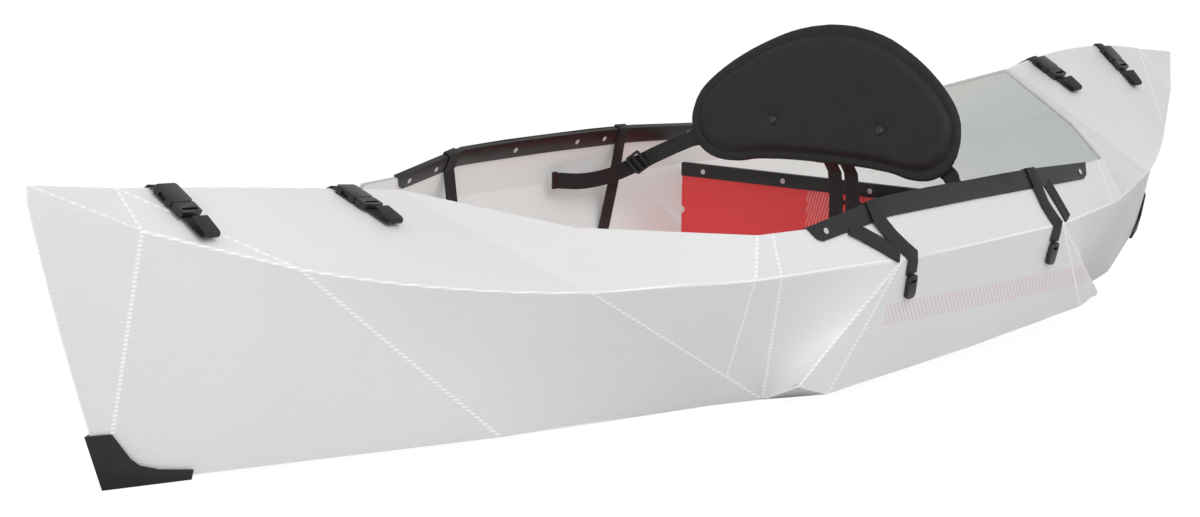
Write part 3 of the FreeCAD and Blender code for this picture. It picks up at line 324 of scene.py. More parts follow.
def hatch_mask(tree, across, up, window, pitch, slant):
    """Slanted strokes inside a window of two ranges: 1 on a stroke and 0 elsewhere."""
    place = add_math(tree, "MULTIPLY_ADD", up, slant, across)
    lines = use_group(tree, ribs, Place=place, Pitch=pitch)
    mask = add_math(tree, "GREATER_THAN", lines.outputs["Height"], 0.72)
    for value, (low, high) in zip((across, up), window):
        off_centre = add_math(tree, "ABSOLUTE", add_math(tree, "SUBTRACT", value,
                                                         (low + high) / 2))
        mask = add_math(tree, "MULTIPLY", mask, add_math(tree, "LESS_THAN", off_centre,
                                                         (high - low) / 2))
    return mask


def print_or_shade_over(tree, shader, mask, overlay_colour):
    """Lays a colour over the Base Color that is already there: printing, or painted shade."""
    below = shader.inputs["Base Color"].links[0].from_socket
    blend = tree.nodes.new("ShaderNodeMix")
    blend.data_type = "RGBA"
    blend.inputs["B"].default_value = (*overlay_colour, 1)
    tree.links.new(below, blend.inputs["A"])
    tree.links.new(mask, blend.inputs["Factor"])
    tree.links.new(blend.outputs["Result"], shader.inputs["Base Color"])


CROSS_WINDOW, CROSS_PITCH, CROSS_SLANT = ((0.070, 0.120), (0.100, 0.168)), 0.0056, 0.3
BAND_WINDOW, BAND_PITCH, BAND_SLANT = ((-0.24, 0.35), (0.082, 0.112)), 0.0095, 0.8
BAND_FALL, BAND_SIDE = 0.037, 0.33
cross_red = red_sheet.copy()
cross_red.name = "cross_red"
tree, shader = cross_red.node_tree, cross_red.node_tree.nodes["Principled BSDF"]
spot = object_place(tree)
strokes = hatch_mask(tree, spot[1], spot[2], CROSS_WINDOW, CROSS_PITCH, CROSS_SLANT)
print_or_shade_over(tree, shader, strokes, (0.9, 0.42, 0.42))
tree, shader = outer_sheet.node_tree, outer_sheet.node_tree.nodes["Principled BSDF"]
spot = object_place(tree)
level = add_math(tree, "MULTIPLY_ADD", spot[0], BAND_FALL, spot[2])
band = hatch_mask(tree, spot[0], level, BAND_WINDOW, BAND_PITCH, BAND_SLANT)
amidships = add_math(tree, "GREATER_THAN", add_math(tree, "ABSOLUTE", spot[1]), BAND_SIDE)
print_or_shade_over(tree, shader, add_math(tree, "MULTIPLY", band, amidships), (0.86, 0.66, 0.67))


def moulded_material(name, dark, light, roughness, grain):
    """Moulded plastic: a fine leathery grain, and a mottle in the colour."""
    material, tree, shader = new_material(name, Roughness=roughness, IOR=1.49)
    cloud = use_group(tree, mottle, Scale=60.0, Contrast=1.4)
    tint_between(tree, shader, cloud.outputs["Mask"], dark, light)
    fine = use_group(tree, mottle, Scale=1800.0, Contrast=1.0)
    bump_from(tree, shader, fine.outputs["Mask"], grain, 0.0003)
    return material


rail_black = moulded_material("rail_black", (0.007, 0.008, 0.008), (0.017, 0.018, 0.018), 0.42,
                              0.2)
guard_black = moulded_material("guard_black", (0.008, 0.008, 0.009), (0.018, 0.018, 0.02), 0.36,
                               0.25)
buckle_black = moulded_material("buckle_black", (0.010, 0.010, 0.011), (0.022, 0.022, 0.024),
                                0.3, 0.1)
rivet_grey = moulded_material("rivet_grey", (0.55, 0.55, 0.54), (0.68, 0.68, 0.67), 0.4, 0.1)
print("materials", len(bpy.data.materials))

# %% Helpers for pieces


def finish_piece(item, body, slot, *replaced):
    """Puts a finished piece on its body and hides the solids that it stands for."""
    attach(item, body)
    if replaced:
        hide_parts(*replaced)
    return item


def new_object(name, mesh, *materials):
    """An object of the mesh, linked to the scene, with its materials in the given order."""
    item = bpy.data.objects.new(name, mesh)
    scene.collection.objects.link(item)
    for material in materials:
        mesh.materials.append(material)
    return item


def welded(name):
    """A bmesh of one solid with its doubles merged, since its mesh is loose triangles."""
    work = bmesh.new()
    work.from_mesh(nodes[name].data)
    bmesh.ops.remove_doubles(work, verts=work.verts, dist=2e-5)
    return work


def read_points(mesh):
    """The mesh's points as an array with one row for each."""
    points = np.empty(3 * len(mesh.vertices))
    mesh.vertices.foreach_get("co", points)
    return points.reshape(-1, 3)


def smooth_faces(mesh):
    """Smooth shading on all faces."""
    mesh.polygons.foreach_set("use_smooth", np.ones(len(mesh.polygons), bool))


def outward(mesh, merge=0.0):
    """Merges doubles where a distance is given, and turns all faces to point outwards."""
    work = bmesh.new()
    work.from_mesh(mesh)
    if merge:
        bmesh.ops.remove_doubles(work, verts=work.verts, dist=merge)
    bmesh.ops.recalc_face_normals(work, faces=work.faces)
    work.to_mesh(mesh)
    work.free()


def mark_points(mesh, name, values):
    """Stores one number for each point, for an Attribute node to read."""
    mark = mesh.attributes.new(name, "FLOAT", "POINT")
    mark.data.foreach_set("value", values.astype(np.float32))


def refine(item):
    """One level of subdivision, the same in the view and in the render."""
    fine = item.modifiers.new("fine", "SUBSURF")
    fine.levels = fine.render_levels = 1


def soften(item, width, segments=2, angle=25.0):
    """Rounds every edge sharper than the angle and smooths what is left."""
    bevel = item.modifiers.new("round", "BEVEL")
    bevel.limit_method = "ANGLE"
    bevel.angle_limit = math.radians(angle)
    bevel.width = width
    bevel.segments = segments
    bevel.harden_normals = True
    smooth_faces(item.data)
    return item


# %% [markdown]
# The hull is one sheet, folded. It is worked out as flat or gently twisted panels between named
# folds, each a pair of rows that are joined by quads, so that neighbours share their corners and
# weld into one skin. Only the outer face is drawn: Solidify gives the sheet its wall, and Bevel
# rounds the folds, because plastic sheet never folds to a knife edge. The strip that Bevel
# makes carries its own finish: a scored fold turns milky and beaded at each flute, and the
# beads' crests are painted lighter and made to glow faintly, a painted highlight for the light
# they catch.

# %% Named folds
MM = 0.001
SHEET_WALL = 5.0 * MM
FOLDS = {
    # reach from midship, half width, height at the bow, height at the stern, in millimetres
    "tip_top": (1370, 0, 361, 323),
    "tip_edge": (1370, 0, 341, 303),
    "stem_foot": (1263, 0, 5, 5),
    "nose_sheer": (1257, 60, 303, 264),
    "fore_sheer": (1086, 136, 247, 212),
    "coaming_sheer": (735, 282, 190, 188),
    "gusset_sheer": (495, 360, 182, 180),
    "brace_sheer": (449, 368, 181, 178),
    "side_top": (221, 407, 180, 176),
    "middle_top": (0, 407, 178, 178),
    "fore_chine": (790, 190, 6, 6),
    "flat": (455, 266, 0, 0),
    "gusset_foot": (381, 296, 0, 0),
    "side_heel": (410, 371, 33, 46),
    "side_foot": (345, 375, 13, 33),
    "chine_middle": (0, 378, 21, 21),
    "ridge_fold": (1241, 0, 344, 337),
    "ridge_middle": (1010, 0, 320, 354),
    "apex": (760, 0, 290, 333),
    "coaming": (646, 188, 249, 269),
    "gusset_edge": (464, 340, 234, 242),
    "rail_end": (376, 355, 233, 244),
    "rail_bend": (212, 369, 257, 253),
    "rail_middle": (0, 372, 257, 257),
}
GUSSET_FOLD_SHARE, STEM_BULGE, CURVE_STEPS, TWIST_STEPS = 0.78, 5.0, 40, 12
ENDS, SIDES = {"bow": -1, "stern": 1}, {"port": -1, "starboard": 1}


def fold(name, end, side):
    """A named fold as a point in metres."""
    reach, half, bow, stern = FOLDS[name]
    return np.array((end * reach, side * half, bow if end < 0 else stern)) * MM


def between(start, stop, share):
    return start + (stop - start) * share


def polyline(points, steps):
    """Straight runs between points, each cut into the same number of steps."""
    points = np.array(points)
    share = np.linspace(0, 1, steps, endpoint=False)[None, :, None]
    runs = points[:-1, None] + (points[1:, None] - points[:-1, None]) * share
    return np.vstack([runs.reshape(-1, 3), points[-1:]])


def curve_through(points, start, stop, count):
    """Cubic or lower through points by chord length, sampled from one point to another."""
    points = np.array(points)
    chord = np.append(0, np.cumsum(np.linalg.norm(np.diff(points, axis=0), axis=1)))
    power = np.polynomial.polynomial
    factors = power.polyfit(chord, points, len(points) - 1)
    at = np.linspace(chord[start], chord[stop], count)
    return power.polyval(at, factors).T


def quarter_rows(end, side):
    """The rows of points that bound the panels of one quarter of the boat."""
    p = {name: fold(name, end, side) for name in FOLDS}
    p["brace_edge"] = between(p["gusset_edge"], p["rail_end"], 0.3)
    p["gusset_fold"] = between(p["coaming_sheer"], p["gusset_foot"], GUSSET_FOLD_SHARE)
    count = CURVE_STEPS + 1
    share = np.linspace(0, 1, 13)[:, None]
    bulge = np.array((end * 4 * STEM_BULGE * MM, 0, 0))
    rows = {
        "stem": p["stem_foot"] + (p["tip_edge"] - p["stem_foot"]) * share
        + bulge * share * (1 - share),
        "nose_sheer": polyline([p["nose_sheer"], p["fore_sheer"]], 12),
        "nose_chine": polyline([p["stem_foot"], p["fore_chine"]], 12),
        "sheer": curve_through([p[n] for n in ("nose_sheer", "fore_sheer", "coaming_sheer",
                                               "gusset_sheer")], 1, 2, count),
        "ridge": curve_through([p[n] for n in ("ridge_fold", "ridge_middle", "apex")], 0, 2,
                               count),
        "chine": polyline([p["fore_chine"], p["flat"]], CURVE_STEPS),
        "edge": polyline([p[n] for n in ("coaming", "gusset_edge", "brace_edge")], 6),
        "edge_foot": polyline([p[n] for n in ("coaming_sheer", "gusset_sheer",
                                              "brace_sheer")], 6),
        "rail": polyline([p[n] for n in ("brace_edge", "rail_end", "rail_bend")]
                         + [between(p["rail_bend"], p["rail_middle"], 0.5) + (0, 0, MM)]
                         + [p["rail_middle"]], 6),
        "rail_foot": polyline([p["brace_sheer"], between(p["brace_sheer"], p["side_top"], 0.5),
                               p["side_top"], between(p["side_top"], p["middle_top"], 0.5),
                               p["middle_top"]], 6),
        "heel": polyline([p["gusset_foot"], between(p["gusset_foot"], p["side_heel"], 0.5),
                          p["side_heel"]], 6),
        "foot": polyline([p["side_foot"], between(p["side_foot"], p["chine_middle"], 0.5),
                          p["chine_middle"]], 6),
    }
    return p, rows


# %% Panels between the folds
DECK, SIDE, UNDER = 1, 0, 0


def strip(first, second):
    """Quads between two rows: P(u, v) is first(u) plus v times second(u) minus first(u)."""
    return np.stack([first[:-1], first[1:], second[1:], second[:-1]], axis=1)


def fan(centre, row):
    """Triangles from one point to a row, as quads whose first side has no length."""
    return strip(np.repeat(centre[None], len(row), axis=0), row)


def twisted(first, second):
    """A grid of quads between two rows, for a panel that turns too far for plain strips."""
    levels = [between(first, second, share) for share in np.linspace(0, 1, TWIST_STEPS + 1)]
    return np.concatenate([strip(a, b) for a, b in zip(levels[:-1], levels[1:])])


def flat_row(row):
    """The row moved onto the keel line."""
    return row * (1, 0, 1)


def quarter_panels(end, side):
    """Quads of one quarter, with the finish of each."""
    p, rows = quarter_rows(end, side)
    wall_top = rows["rail_foot"][12:]
    gusset = np.array([p[n] for n in ("coaming_sheer", "gusset_sheer")])
    keel = np.array((0.0, 0.0, 0.0))
    deck = [fan(p["nose_sheer"], np.array([p["tip_top"], p["ridge_fold"]])),
            fan(p["ridge_fold"], rows["nose_sheer"]), strip(rows["ridge"], rows["sheer"]),
            fan(p["apex"], np.array([p["coaming"], p["coaming_sheer"]]))]
    sides = [fan(p["nose_sheer"], np.vstack([rows["stem"], p["tip_top"]])),
             strip(rows["nose_sheer"], rows["nose_chine"]), strip(rows["sheer"], rows["chine"]),
             fan(p["flat"], np.array([p["coaming_sheer"], p["gusset_fold"],
                                      p["gusset_foot"]])),
             fan(p["gusset_fold"], polyline(gusset, 6)),
             fan(p["gusset_fold"], polyline([p["gusset_sheer"], p["brace_sheer"]], 6)),
             fan(p["gusset_fold"], polyline([p["brace_sheer"], p["gusset_foot"]],
                                            TWIST_STEPS)),
             twisted(rows["rail_foot"][:13], rows["heel"]),
             strip(rows["edge"], rows["edge_foot"]), strip(rows["rail"], rows["rail_foot"]),
             fan(p["side_foot"], polyline([p["side_top"], p["side_heel"]], TWIST_STEPS)),
             strip(wall_top, rows["foot"])]
    under = [strip(rows["nose_chine"], flat_row(rows["nose_chine"])),
             strip(rows["chine"], flat_row(rows["chine"])),
             fan(p["gusset_foot"], flat_row(np.array([p["gusset_foot"], p["flat"]]))),
             fan(p["gusset_foot"], np.array([p["flat"], flat_row(p["flat"])])),
             fan(keel, np.array([flat_row(p["gusset_foot"]), p["gusset_foot"],
                                 p["side_foot"]])),
             fan(keel, rows["foot"]), fan(p["side_foot"], rows["heel"])]
    parts = [(deck, DECK), (sides, SIDE), (under, UNDER)]
    quads = np.concatenate([block for blocks, _ in parts for block in blocks])
    finish = np.concatenate([np.full(sum(map(len, blocks)), kind) for blocks, kind in parts])
    return quads, finish


def creases(end, side):
    """The polylines along which one quarter of the sheet is scored."""
    p, rows = quarter_rows(end, side)
    lines = [np.vstack([p["tip_top"], rows["nose_sheer"], rows["sheer"], p["gusset_sheer"],
                        rows["rail_foot"]]),
             np.vstack([rows["stem"], p["tip_top"]]),
             np.vstack([rows["nose_chine"], rows["chine"], p["gusset_foot"], rows["heel"],
                        rows["foot"]]),
             rows["ridge"]]
    pairs = (("nose_sheer", "stem_foot"), ("nose_sheer", "ridge_fold"),
             ("ridge_fold", "fore_sheer"), ("fore_sheer", "fore_chine"),
             ("coaming_sheer", "gusset_foot"), ("gusset_sheer", "gusset_fold"),
             ("brace_sheer", "gusset_foot"), ("gusset_edge", "gusset_sheer"),
             ("brace_edge", "brace_sheer"), ("side_top", "side_heel"),
             ("side_top", "side_foot"), ("ridge_fold", "tip_top"), ("side_heel", "side_foot"))
    return lines + [np.array([p[a], p[b]]) for a, b in pairs]


def near_line(points, line, reach):
    """True where a point lies within reach of a polyline: its distance to the nearest run."""
    start, run = line[:-1], np.diff(line, axis=0)
    gap = points[:, None] - start[None]
    length = np.maximum((run ** 2).sum(1), 1e-12)
    share = np.clip((gap * run).sum(2) / length, 0, 1)
    return np.linalg.norm(gap - share[..., None] * run, axis=2).min(1) < reach


# %% Hull skin
hull_nodes = [name for name in nodes if name.endswith("_bottom") or name.startswith((
    "bow_deck", "bow_side", "bow_gusset", "stern_deck", "stern_side", "stern_gusset",
    "cockpit_wing", "middle_side"))]
quads, finishes, scored = [], [], []
for end in ENDS.values():
    for side in SIDES.values():
        block, kinds = quarter_panels(end, side)
        quads.append(block)
        finishes.append(kinds)
        scored += creases(end, side)
quads, finishes = np.concatenate(quads), np.concatenate(finishes)
skin_mesh = bpy.data.meshes.new("hull_skin")
skin_mesh.from_pydata(quads.reshape(-1, 3), [], np.arange(4 * len(quads)).reshape(-1, 4))
skin_mesh.polygons.foreach_set("material_index", finishes)
skin = bmesh.new()
skin.from_mesh(skin_mesh)
bmesh.ops.remove_doubles(skin, verts=skin.verts, dist=2e-5)
bmesh.ops.recalc_face_normals(skin, faces=skin.faces)
if min(skin.faces, key=lambda face: face.calc_center_median().z).normal.z > 0:
    bmesh.ops.reverse_faces(skin, faces=skin.faces)
print("open edges", sum(len(edge.link_faces) == 1 for edge in skin.edges),
      "odd edges", sum(len(edge.link_faces) > 2 for edge in skin.edges))
skin.to_mesh(skin_mesh)
skin.free()
count = len(skin_mesh.edges)
ends = np.empty(2 * count, int)
skin_mesh.edges.foreach_get("vertices", ends)
spots = read_points(skin_mesh)
first, last = spots[ends[0::2]], spots[ends[1::2]]
on_score = np.zeros(count, bool)
for line in scored:
    on_score |= (near_line(first, line, 1e-4) & near_line(last, line, 1e-4)
                 & near_line((first + last) / 2, line, 1e-4))
weights = skin_mesh.attributes.new("bevel_weight_edge", "FLOAT", "EDGE")
weights.data.foreach_set("value", on_score.astype(np.float32))
smooth_faces(skin_mesh)
hull_skin = new_object("hull_skin", skin_mesh, outer_sheet, deck_sheet, score_sheet,
                       inner_sheet, inner_sheet, inner_sheet)
fold_round = hull_skin.modifiers.new("fold_round", "BEVEL")
fold_round.limit_method = "WEIGHT"
fold_round.width = 2.2 * MM
fold_round.segments = 3
fold_round.material = 2
wall = hull_skin.modifiers.new("sheet_wall", "SOLIDIFY")
wall.thickness = SHEET_WALL
wall.offset = -1
wall.material_offset = 3
wall.material_offset_rim = 3
shading = hull_skin.modifiers.new("flat_panels", "WEIGHTED_NORMAL")
shading.keep_sharp = True
finish_piece(hull_skin, HULL_BODY, "hull_sheet", *hull_nodes)
print("hull skin", len(skin_mesh.polygons), "faces,", int(on_score.sum()), "scored edges")

# %% [markdown]
# Hard fittings keep the shapes of their solids. Each gets a copy with its edges broken by a
# small round, because a moulding catches light along its edges and a plain solid does not.

# %% Rails, guards and fittings


def dress(name, new_name, material, slot, width, body=HULL_BODY, angle=25.0):
    """A copy of one solid with rounded edges and its own finish."""
    work = welded(name)
    bmesh.ops.dissolve_limit(work, angle_limit=math.radians(1.0), verts=work.verts,
                             edges=work.edges)
    mesh = bpy.data.meshes.new(new_name)
    work.to_mesh(mesh)
    work.free()
    item = new_object(new_name, mesh, material)
    soften(item, width, 2, angle)
    return finish_piece(item, body, slot, name)


for side in ("port", "starboard"):
    dress(f"gunwale_rail_{side}", f"rail_{side}", rail_black, "black_moulding", 0.0007)
    dress(f"rail_rivets_{side}", f"rivets_{side}", rivet_grey, "rivet", 0.0002)
for end in ("bow", "stern"):
    dress(f"{end}_guard", f"guard_{end}", guard_black, "black_moulding", 0.0012)
dress("floorboard", "floor_panel", red_sheet, "red_sheet", 0.0006)
dress("bulkhead", "cross_panel", cross_red, "red_sheet", 0.0006)
dress("bulkhead_rail", "cross_rail", rail_black, "black_moulding", 0.0006)
dress("bulkhead_rivets", "cross_rivets", rivet_grey, "rivet", 0.0002)

# %% Webbing and buckles
web_black = moulded_material("web_black", (0.010, 0.010, 0.011), (0.024, 0.024, 0.026), 0.62,
                             0.5)
for name in [n for n in nodes if "_wrap_" in n or n in (
        "deck_strap_anchors", "backrest_lower_straps")]:
    dress(name, f"web_{name}", web_black, "webbing", 0.0005)
for name in ("wrap_hooks", "strap_slides", "lower_strap_keepers"):
    dress(name, f"moulded_{name}", buckle_black, "buckle", 0.0009)
for end, place in (("bow", "tip"), ("bow", "apex"), ("stern", "apex"), ("stern", "tip")):
    key = f"{end}_{place}"
    dress(f"{key}_buckle_socket", f"socket_{key}", buckle_black, "buckle", 0.001)
    dress(f"{key}_buckle_latch", f"latch_{key}", buckle_black, "buckle", 0.0008,
          f"{key}_latch")
    dress(f"{key}_strap_tail", f"tail_{key}", web_black, "webbing", 0.0005, f"{key}_latch")

# %% [markdown]
# Backrest and seat are foam in fabric. Foam has no sharp form of its own, so each pad starts as
# a lens over its outline and is blown up for a moment as cloth: the cover stretches, the middle
# crowns and the edge stays full. What is sewn comes after the swelling: the channel that runs
# inside the binding, the raised field and the two tufts.

# %% Pad cloth


def pad_material(name, groove_at):
    """Black cover cloth: a fine weave, and painted shade along the sewn groove a set way in from
    the edge.
    """
    material, tree, shader = new_material(name, Roughness=0.62)
    cloud = use_group(tree, mottle, Scale=40.0, Contrast=1.0)
    tint_between(tree, shader, cloud.outputs["Mask"], (0.006, 0.006, 0.006),
                 (0.017, 0.017, 0.017))
    edge = tree.nodes.new("ShaderNodeAttribute")
    edge.attribute_name = "edge_gap"
    off_groove = add_math(tree, "ABSOLUTE", add_math(tree, "SUBTRACT", edge.outputs["Fac"],
                                                     groove_at))
    # Painted shade: the cover is coloured almost black along the groove line, where the sewn
    # channel lies in shade.
    groove = add_math(tree, "SUBTRACT", 1.0, add_math(tree, "MULTIPLY", off_groove, 0.45))
    groove = add_math(tree, "MAXIMUM", groove, 0.0)
    print_or_shade_over(tree, shader, groove, (0.001, 0.001, 0.001))
    spot = object_place(tree)
    warp = use_group(tree, ribs, Place=spot[1], Pitch=0.0019)
    weft = use_group(tree, ribs, Place=spot[2], Pitch=0.0019)
    weave = add_math(tree, "MULTIPLY", warp.outputs["Height"], weft.outputs["Height"])
    bump_from(tree, shader, weave, 0.25, 0.0003)
    return material


GROOVE_AT = 15.0
pad_black = pad_material("pad_black", GROOVE_AT)
tuft_gloss = moulded_material("tuft_gloss", (0.02, 0.02, 0.021), (0.035, 0.035, 0.036), 0.12,
                              0.05)
print("groove", GROOVE_AT, "mm from the edge")

# %% Pad shapes
COVER_CAP = 0.004
BACK_SPOT, BACK_LEAN = np.array((0.200, 0.0, 0.216)), math.radians(10.3)
BACK_UP = np.array((math.sin(BACK_LEAN), 0, math.cos(BACK_LEAN)))
BACK_FRONT = np.array((-math.cos(BACK_LEAN), 0, math.sin(BACK_LEAN)))
BACK_HALF_OUTLINE = ((0, 12), (60, 11.5), (115, 8), (155, 2), (190, 4), (216, 15), (235, 35),
                     (243, 67), (236, 102), (212, 134), (175, 165), (135, 190), (90, 211),
                     (45, 223))
BACK_TOP, BACK_MIDDLE, BACK_THICK, BOARD_THICK = 227.0, np.array((0.0, 105.0)), 22.0, 4.0
BACK_SET, BACK_WRAP, BACK_HALF = 1.0, 22.0, 243.0
TUFT_SPOTS = ((98.0, 71.0), (-98.0, 71.0))


def closed_curve(points, count):
    """Catmull-Rom through a ring of points: cubic pieces with slopes from the neighbours."""
    points = np.array(points, float)
    at = np.arange(count) * len(points) / count
    i, t = at.astype(int), (at % 1)[:, None]
    a, b, c, d = (points[(i + k) % len(points)] for k in (-1, 0, 1, 2))
    return 0.5 * (2 * b + (c - a) * t + (2 * a - 5 * b + 4 * c - d) * t ** 2
                  + (3 * b - a - 3 * c + d) * t ** 3)


def back_ring(count):
    """The backrest's outline: the measured half, the middle of the top, and the mirrored half."""
    half = list(BACK_HALF_OUTLINE)
    return closed_curve(half + [(0, BACK_TOP)] + [(-y, v) for y, v in half[:0:-1]], count)


def lens(outline, middle, front, back, rings, roundness):
    """A closed pad: rings that shrink to the middle, height (1 - r^n)^(1/n) on each face."""
    share = np.sin(np.linspace(0, 1, rings)[1:] * math.pi / 2)
    rise = (1 - share ** roundness) ** (1 / roundness)
    reach = np.append(share, share[-2::-1])
    height = np.append(front * rise, back * rise[-2::-1])
    count, levels = len(outline), len(reach)
    plan = middle + (outline - middle)[None] * reach[:, None, None]
    grid = np.dstack([plan[..., 0], plan[..., 1], np.repeat(height[:, None], count, axis=1)])
    i = np.arange(count)
    base = np.arange(levels - 1)[:, None] * count
    quads = np.stack([base + i, base + count + i, base + count + (i + 1) % count,
                      base + (i + 1) % count], axis=-1).reshape(-1, 4)
    spots = np.vstack([grid.reshape(-1, 3), [(*middle, front)], [(*middle, back)]])
    tip, foot, end = levels * count, levels * count + 1, (levels - 1) * count
    after = (i + 1) % count
    top = np.stack([np.full(count, tip), i, after], axis=1)
    low = np.stack([np.full(count, foot), end + after, end + i], axis=1)
    return spots, quads.tolist() + top.tolist() + low.tolist()


def inflate(item, voxel, cap):
    """Swells a closed piece as cloth under pressure and stops each point at the cap."""
    bpy.context.view_layer.objects.active = item
    item.select_set(True)
    item.data.remesh_voxel_size = voxel
    bpy.ops.object.voxel_remesh()
    item.select_set(False)
    before = read_points(item.data)
    cloth = item.modifiers.new("cover", "CLOTH")
    cloth.settings.use_pressure = True
    cloth.settings.uniform_pressure_force = 4.0
    cloth.settings.effector_weights.gravity = 0.0
    cloth.settings.quality = 4
    for frame_number in range(1, 21):
        scene.frame_set(frame_number)
    shape = item.evaluated_get(bpy.context.evaluated_depsgraph_get()).to_mesh()
    move = read_points(shape) - before
    item.modifiers.remove(cloth)
    scene.frame_set(1)
    far = np.linalg.norm(move, axis=1, keepdims=True)
    move *= np.minimum(1, cap / np.maximum(far, 1e-9))
    item.data.vertices.foreach_set("co", (before + move).ravel())
    return float(far.max())


def edge_gap(points, outline):
    """Distance from each point in plan to the closed outline."""
    ring = np.vstack([outline, outline[:1]])
    start, run = ring[:-1], np.diff(ring, axis=0)
    gap = points[:, None] - start[None]
    share = np.clip((gap * run).sum(2) / (run ** 2).sum(1), 0, 1)
    return np.linalg.norm(gap - share[..., None] * run, axis=2).min(1)


def on_back(across, upward, ahead):
    """From the pad's flat plan to its place: leaning, and wrapped forward at both ends."""
    ahead = ahead + BACK_SET + BACK_WRAP * (across / BACK_HALF) ** 2
    return BACK_SPOT + (np.outer(across, (0, 1, 0)) + np.outer(upward, BACK_UP)
                        + np.outer(ahead, BACK_FRONT)) * MM


# %% Backrest
BACK_START, FIELD_RISE, BOARD_INSET = 0.985, 4.2, 0.95
GROOVE_DEEP, GROOVE_WIDE, TUFT_DEEP, TUFT_WIDE = 4.6, 3.2, 5.0, 12.0
outline = back_ring(120)
inset = BACK_MIDDLE + (outline - BACK_MIDDLE) * BACK_START
spots, faces = lens(inset, BACK_MIDDLE, BACK_THICK / 2 - 4, 2 - BACK_THICK / 2, 16, 5.0)
back_mesh = bpy.data.meshes.new("back_cushion")
back_mesh.from_pydata(spots * MM, [], faces)
back_cushion = new_object("back_cushion", back_mesh, pad_black)
print("backrest cover moved", round(inflate(back_cushion, 0.005, COVER_CAP) / MM, 1), "mm")
back_mesh = back_cushion.data
spots = read_points(back_mesh) / MM
low, span = spots[:, :2].min(0), np.ptp(spots[:, :2], axis=0)
spots[:, :2] = outline.min(0) + (spots[:, :2] - low) * np.ptp(outline, axis=0) / span
gap = edge_gap(spots[:, :2], outline)
front_side = np.clip(spots[:, 2] / 4, 0, 1)
channel = -GROOVE_DEEP * np.exp(-((gap - GROOVE_AT) / GROOVE_WIDE) ** 2)
field = FIELD_RISE * np.clip((gap - GROOVE_AT - 1) / 10, 0, 1) ** 0.7
# edge_gap drives the painted shade along the groove.
mark_points(back_mesh, "edge_gap", gap)
tufts = 0
for y, v in TUFT_SPOTS:
    far = np.hypot(spots[:, 0] - y, spots[:, 1] - v)
    tufts = tufts - TUFT_DEEP * np.exp(-(far / TUFT_WIDE) ** 2)
spots[:, 2] += front_side * (channel + field - 1.0 + tufts)
spots[:, 2] = np.maximum(spots[:, 2], 0.6 - BACK_THICK / 2)
placed = on_back(spots[:, 0], spots[:, 1], spots[:, 2] - BACK_THICK / 2)
back_mesh.vertices.foreach_set("co", placed.ravel())
smooth_faces(back_mesh)
refine(back_cushion)
finish_piece(back_cushion, "backrest", "pad_fabric", "backrest_pad")
print("backrest points", len(back_mesh.vertices))

# %% Back board
board_edge = BACK_MIDDLE + (outline - BACK_MIDDLE) * BOARD_INSET
board_spots, faces = lens(board_edge, BACK_MIDDLE, BOARD_THICK / 2, -BOARD_THICK / 2, 24, 14.0)
board_spots = on_back(board_spots[:, 0], board_spots[:, 1],
                      board_spots[:, 2] - BACK_THICK - BOARD_THICK / 2)
board_mesh = bpy.data.meshes.new("back_board")
board_mesh.from_pydata(board_spots, [], faces)
smooth_faces(board_mesh)
back_board = new_object("back_board", board_mesh, guard_black)
finish_piece(back_board, "backrest", "stiff_panel", "backrest_panel")
print("board faces", len(faces))

# %% Tufts
TUFT_RADIUS, TUFT_RISE, TUFT_SINK, TUFT_SIDES, TUFT_RINGS = 8.2 * MM, 4.4 * MM, 0.8, 28, 7


def button_head(name, spot, radius, rise):
    """A domed button: rings that fall off as a quarter circle, turned to face the paddler."""
    turn = np.linspace(0, 2 * math.pi, TUFT_SIDES, endpoint=False)
    fall = np.linspace(0, math.pi / 2, TUFT_RINGS)
    reach, height = radius * np.sin(fall), rise * np.cos(fall)
    ring = np.stack([np.outer(reach, np.cos(turn)), np.outer(reach, np.sin(turn)),
                     np.repeat(height[:, None], TUFT_SIDES, axis=1)], axis=-1).reshape(-1, 3)
    base = np.arange(TUFT_RINGS - 1)[:, None] * TUFT_SIDES
    i = np.arange(TUFT_SIDES)
    after = (i + 1) % TUFT_SIDES
    quads = np.stack([base + i, base + TUFT_SIDES + i, base + TUFT_SIDES + after, base + after],
                     axis=-1).reshape(-1, 4)
    placed = spot + (np.outer(ring[:, 0], (0, 1, 0)) + np.outer(ring[:, 1], BACK_UP)
                     + np.outer(ring[:, 2], BACK_FRONT))
    mesh = bpy.data.meshes.new(name)
    mesh.from_pydata(placed, [], quads)
    outward(mesh, 1e-6)
    smooth_faces(mesh)
    return new_object(name, mesh, tuft_gloss)


for i, (y, v) in enumerate(TUFT_SPOTS):
    near = np.hypot(spots[:, 0] - y, spots[:, 1] - v) < 7
    seat = spots[near, 2].max() - BACK_THICK / 2 - TUFT_SINK
    spot = on_back(np.array([y]), np.array([v]), np.array([seat]))[0]
    button = button_head(f"tuft_{i}", spot, TUFT_RADIUS, TUFT_RISE)
    finish_piece(button, "backrest", "rivet", "backrest_buttons")
print("tufts", len(TUFT_SPOTS))

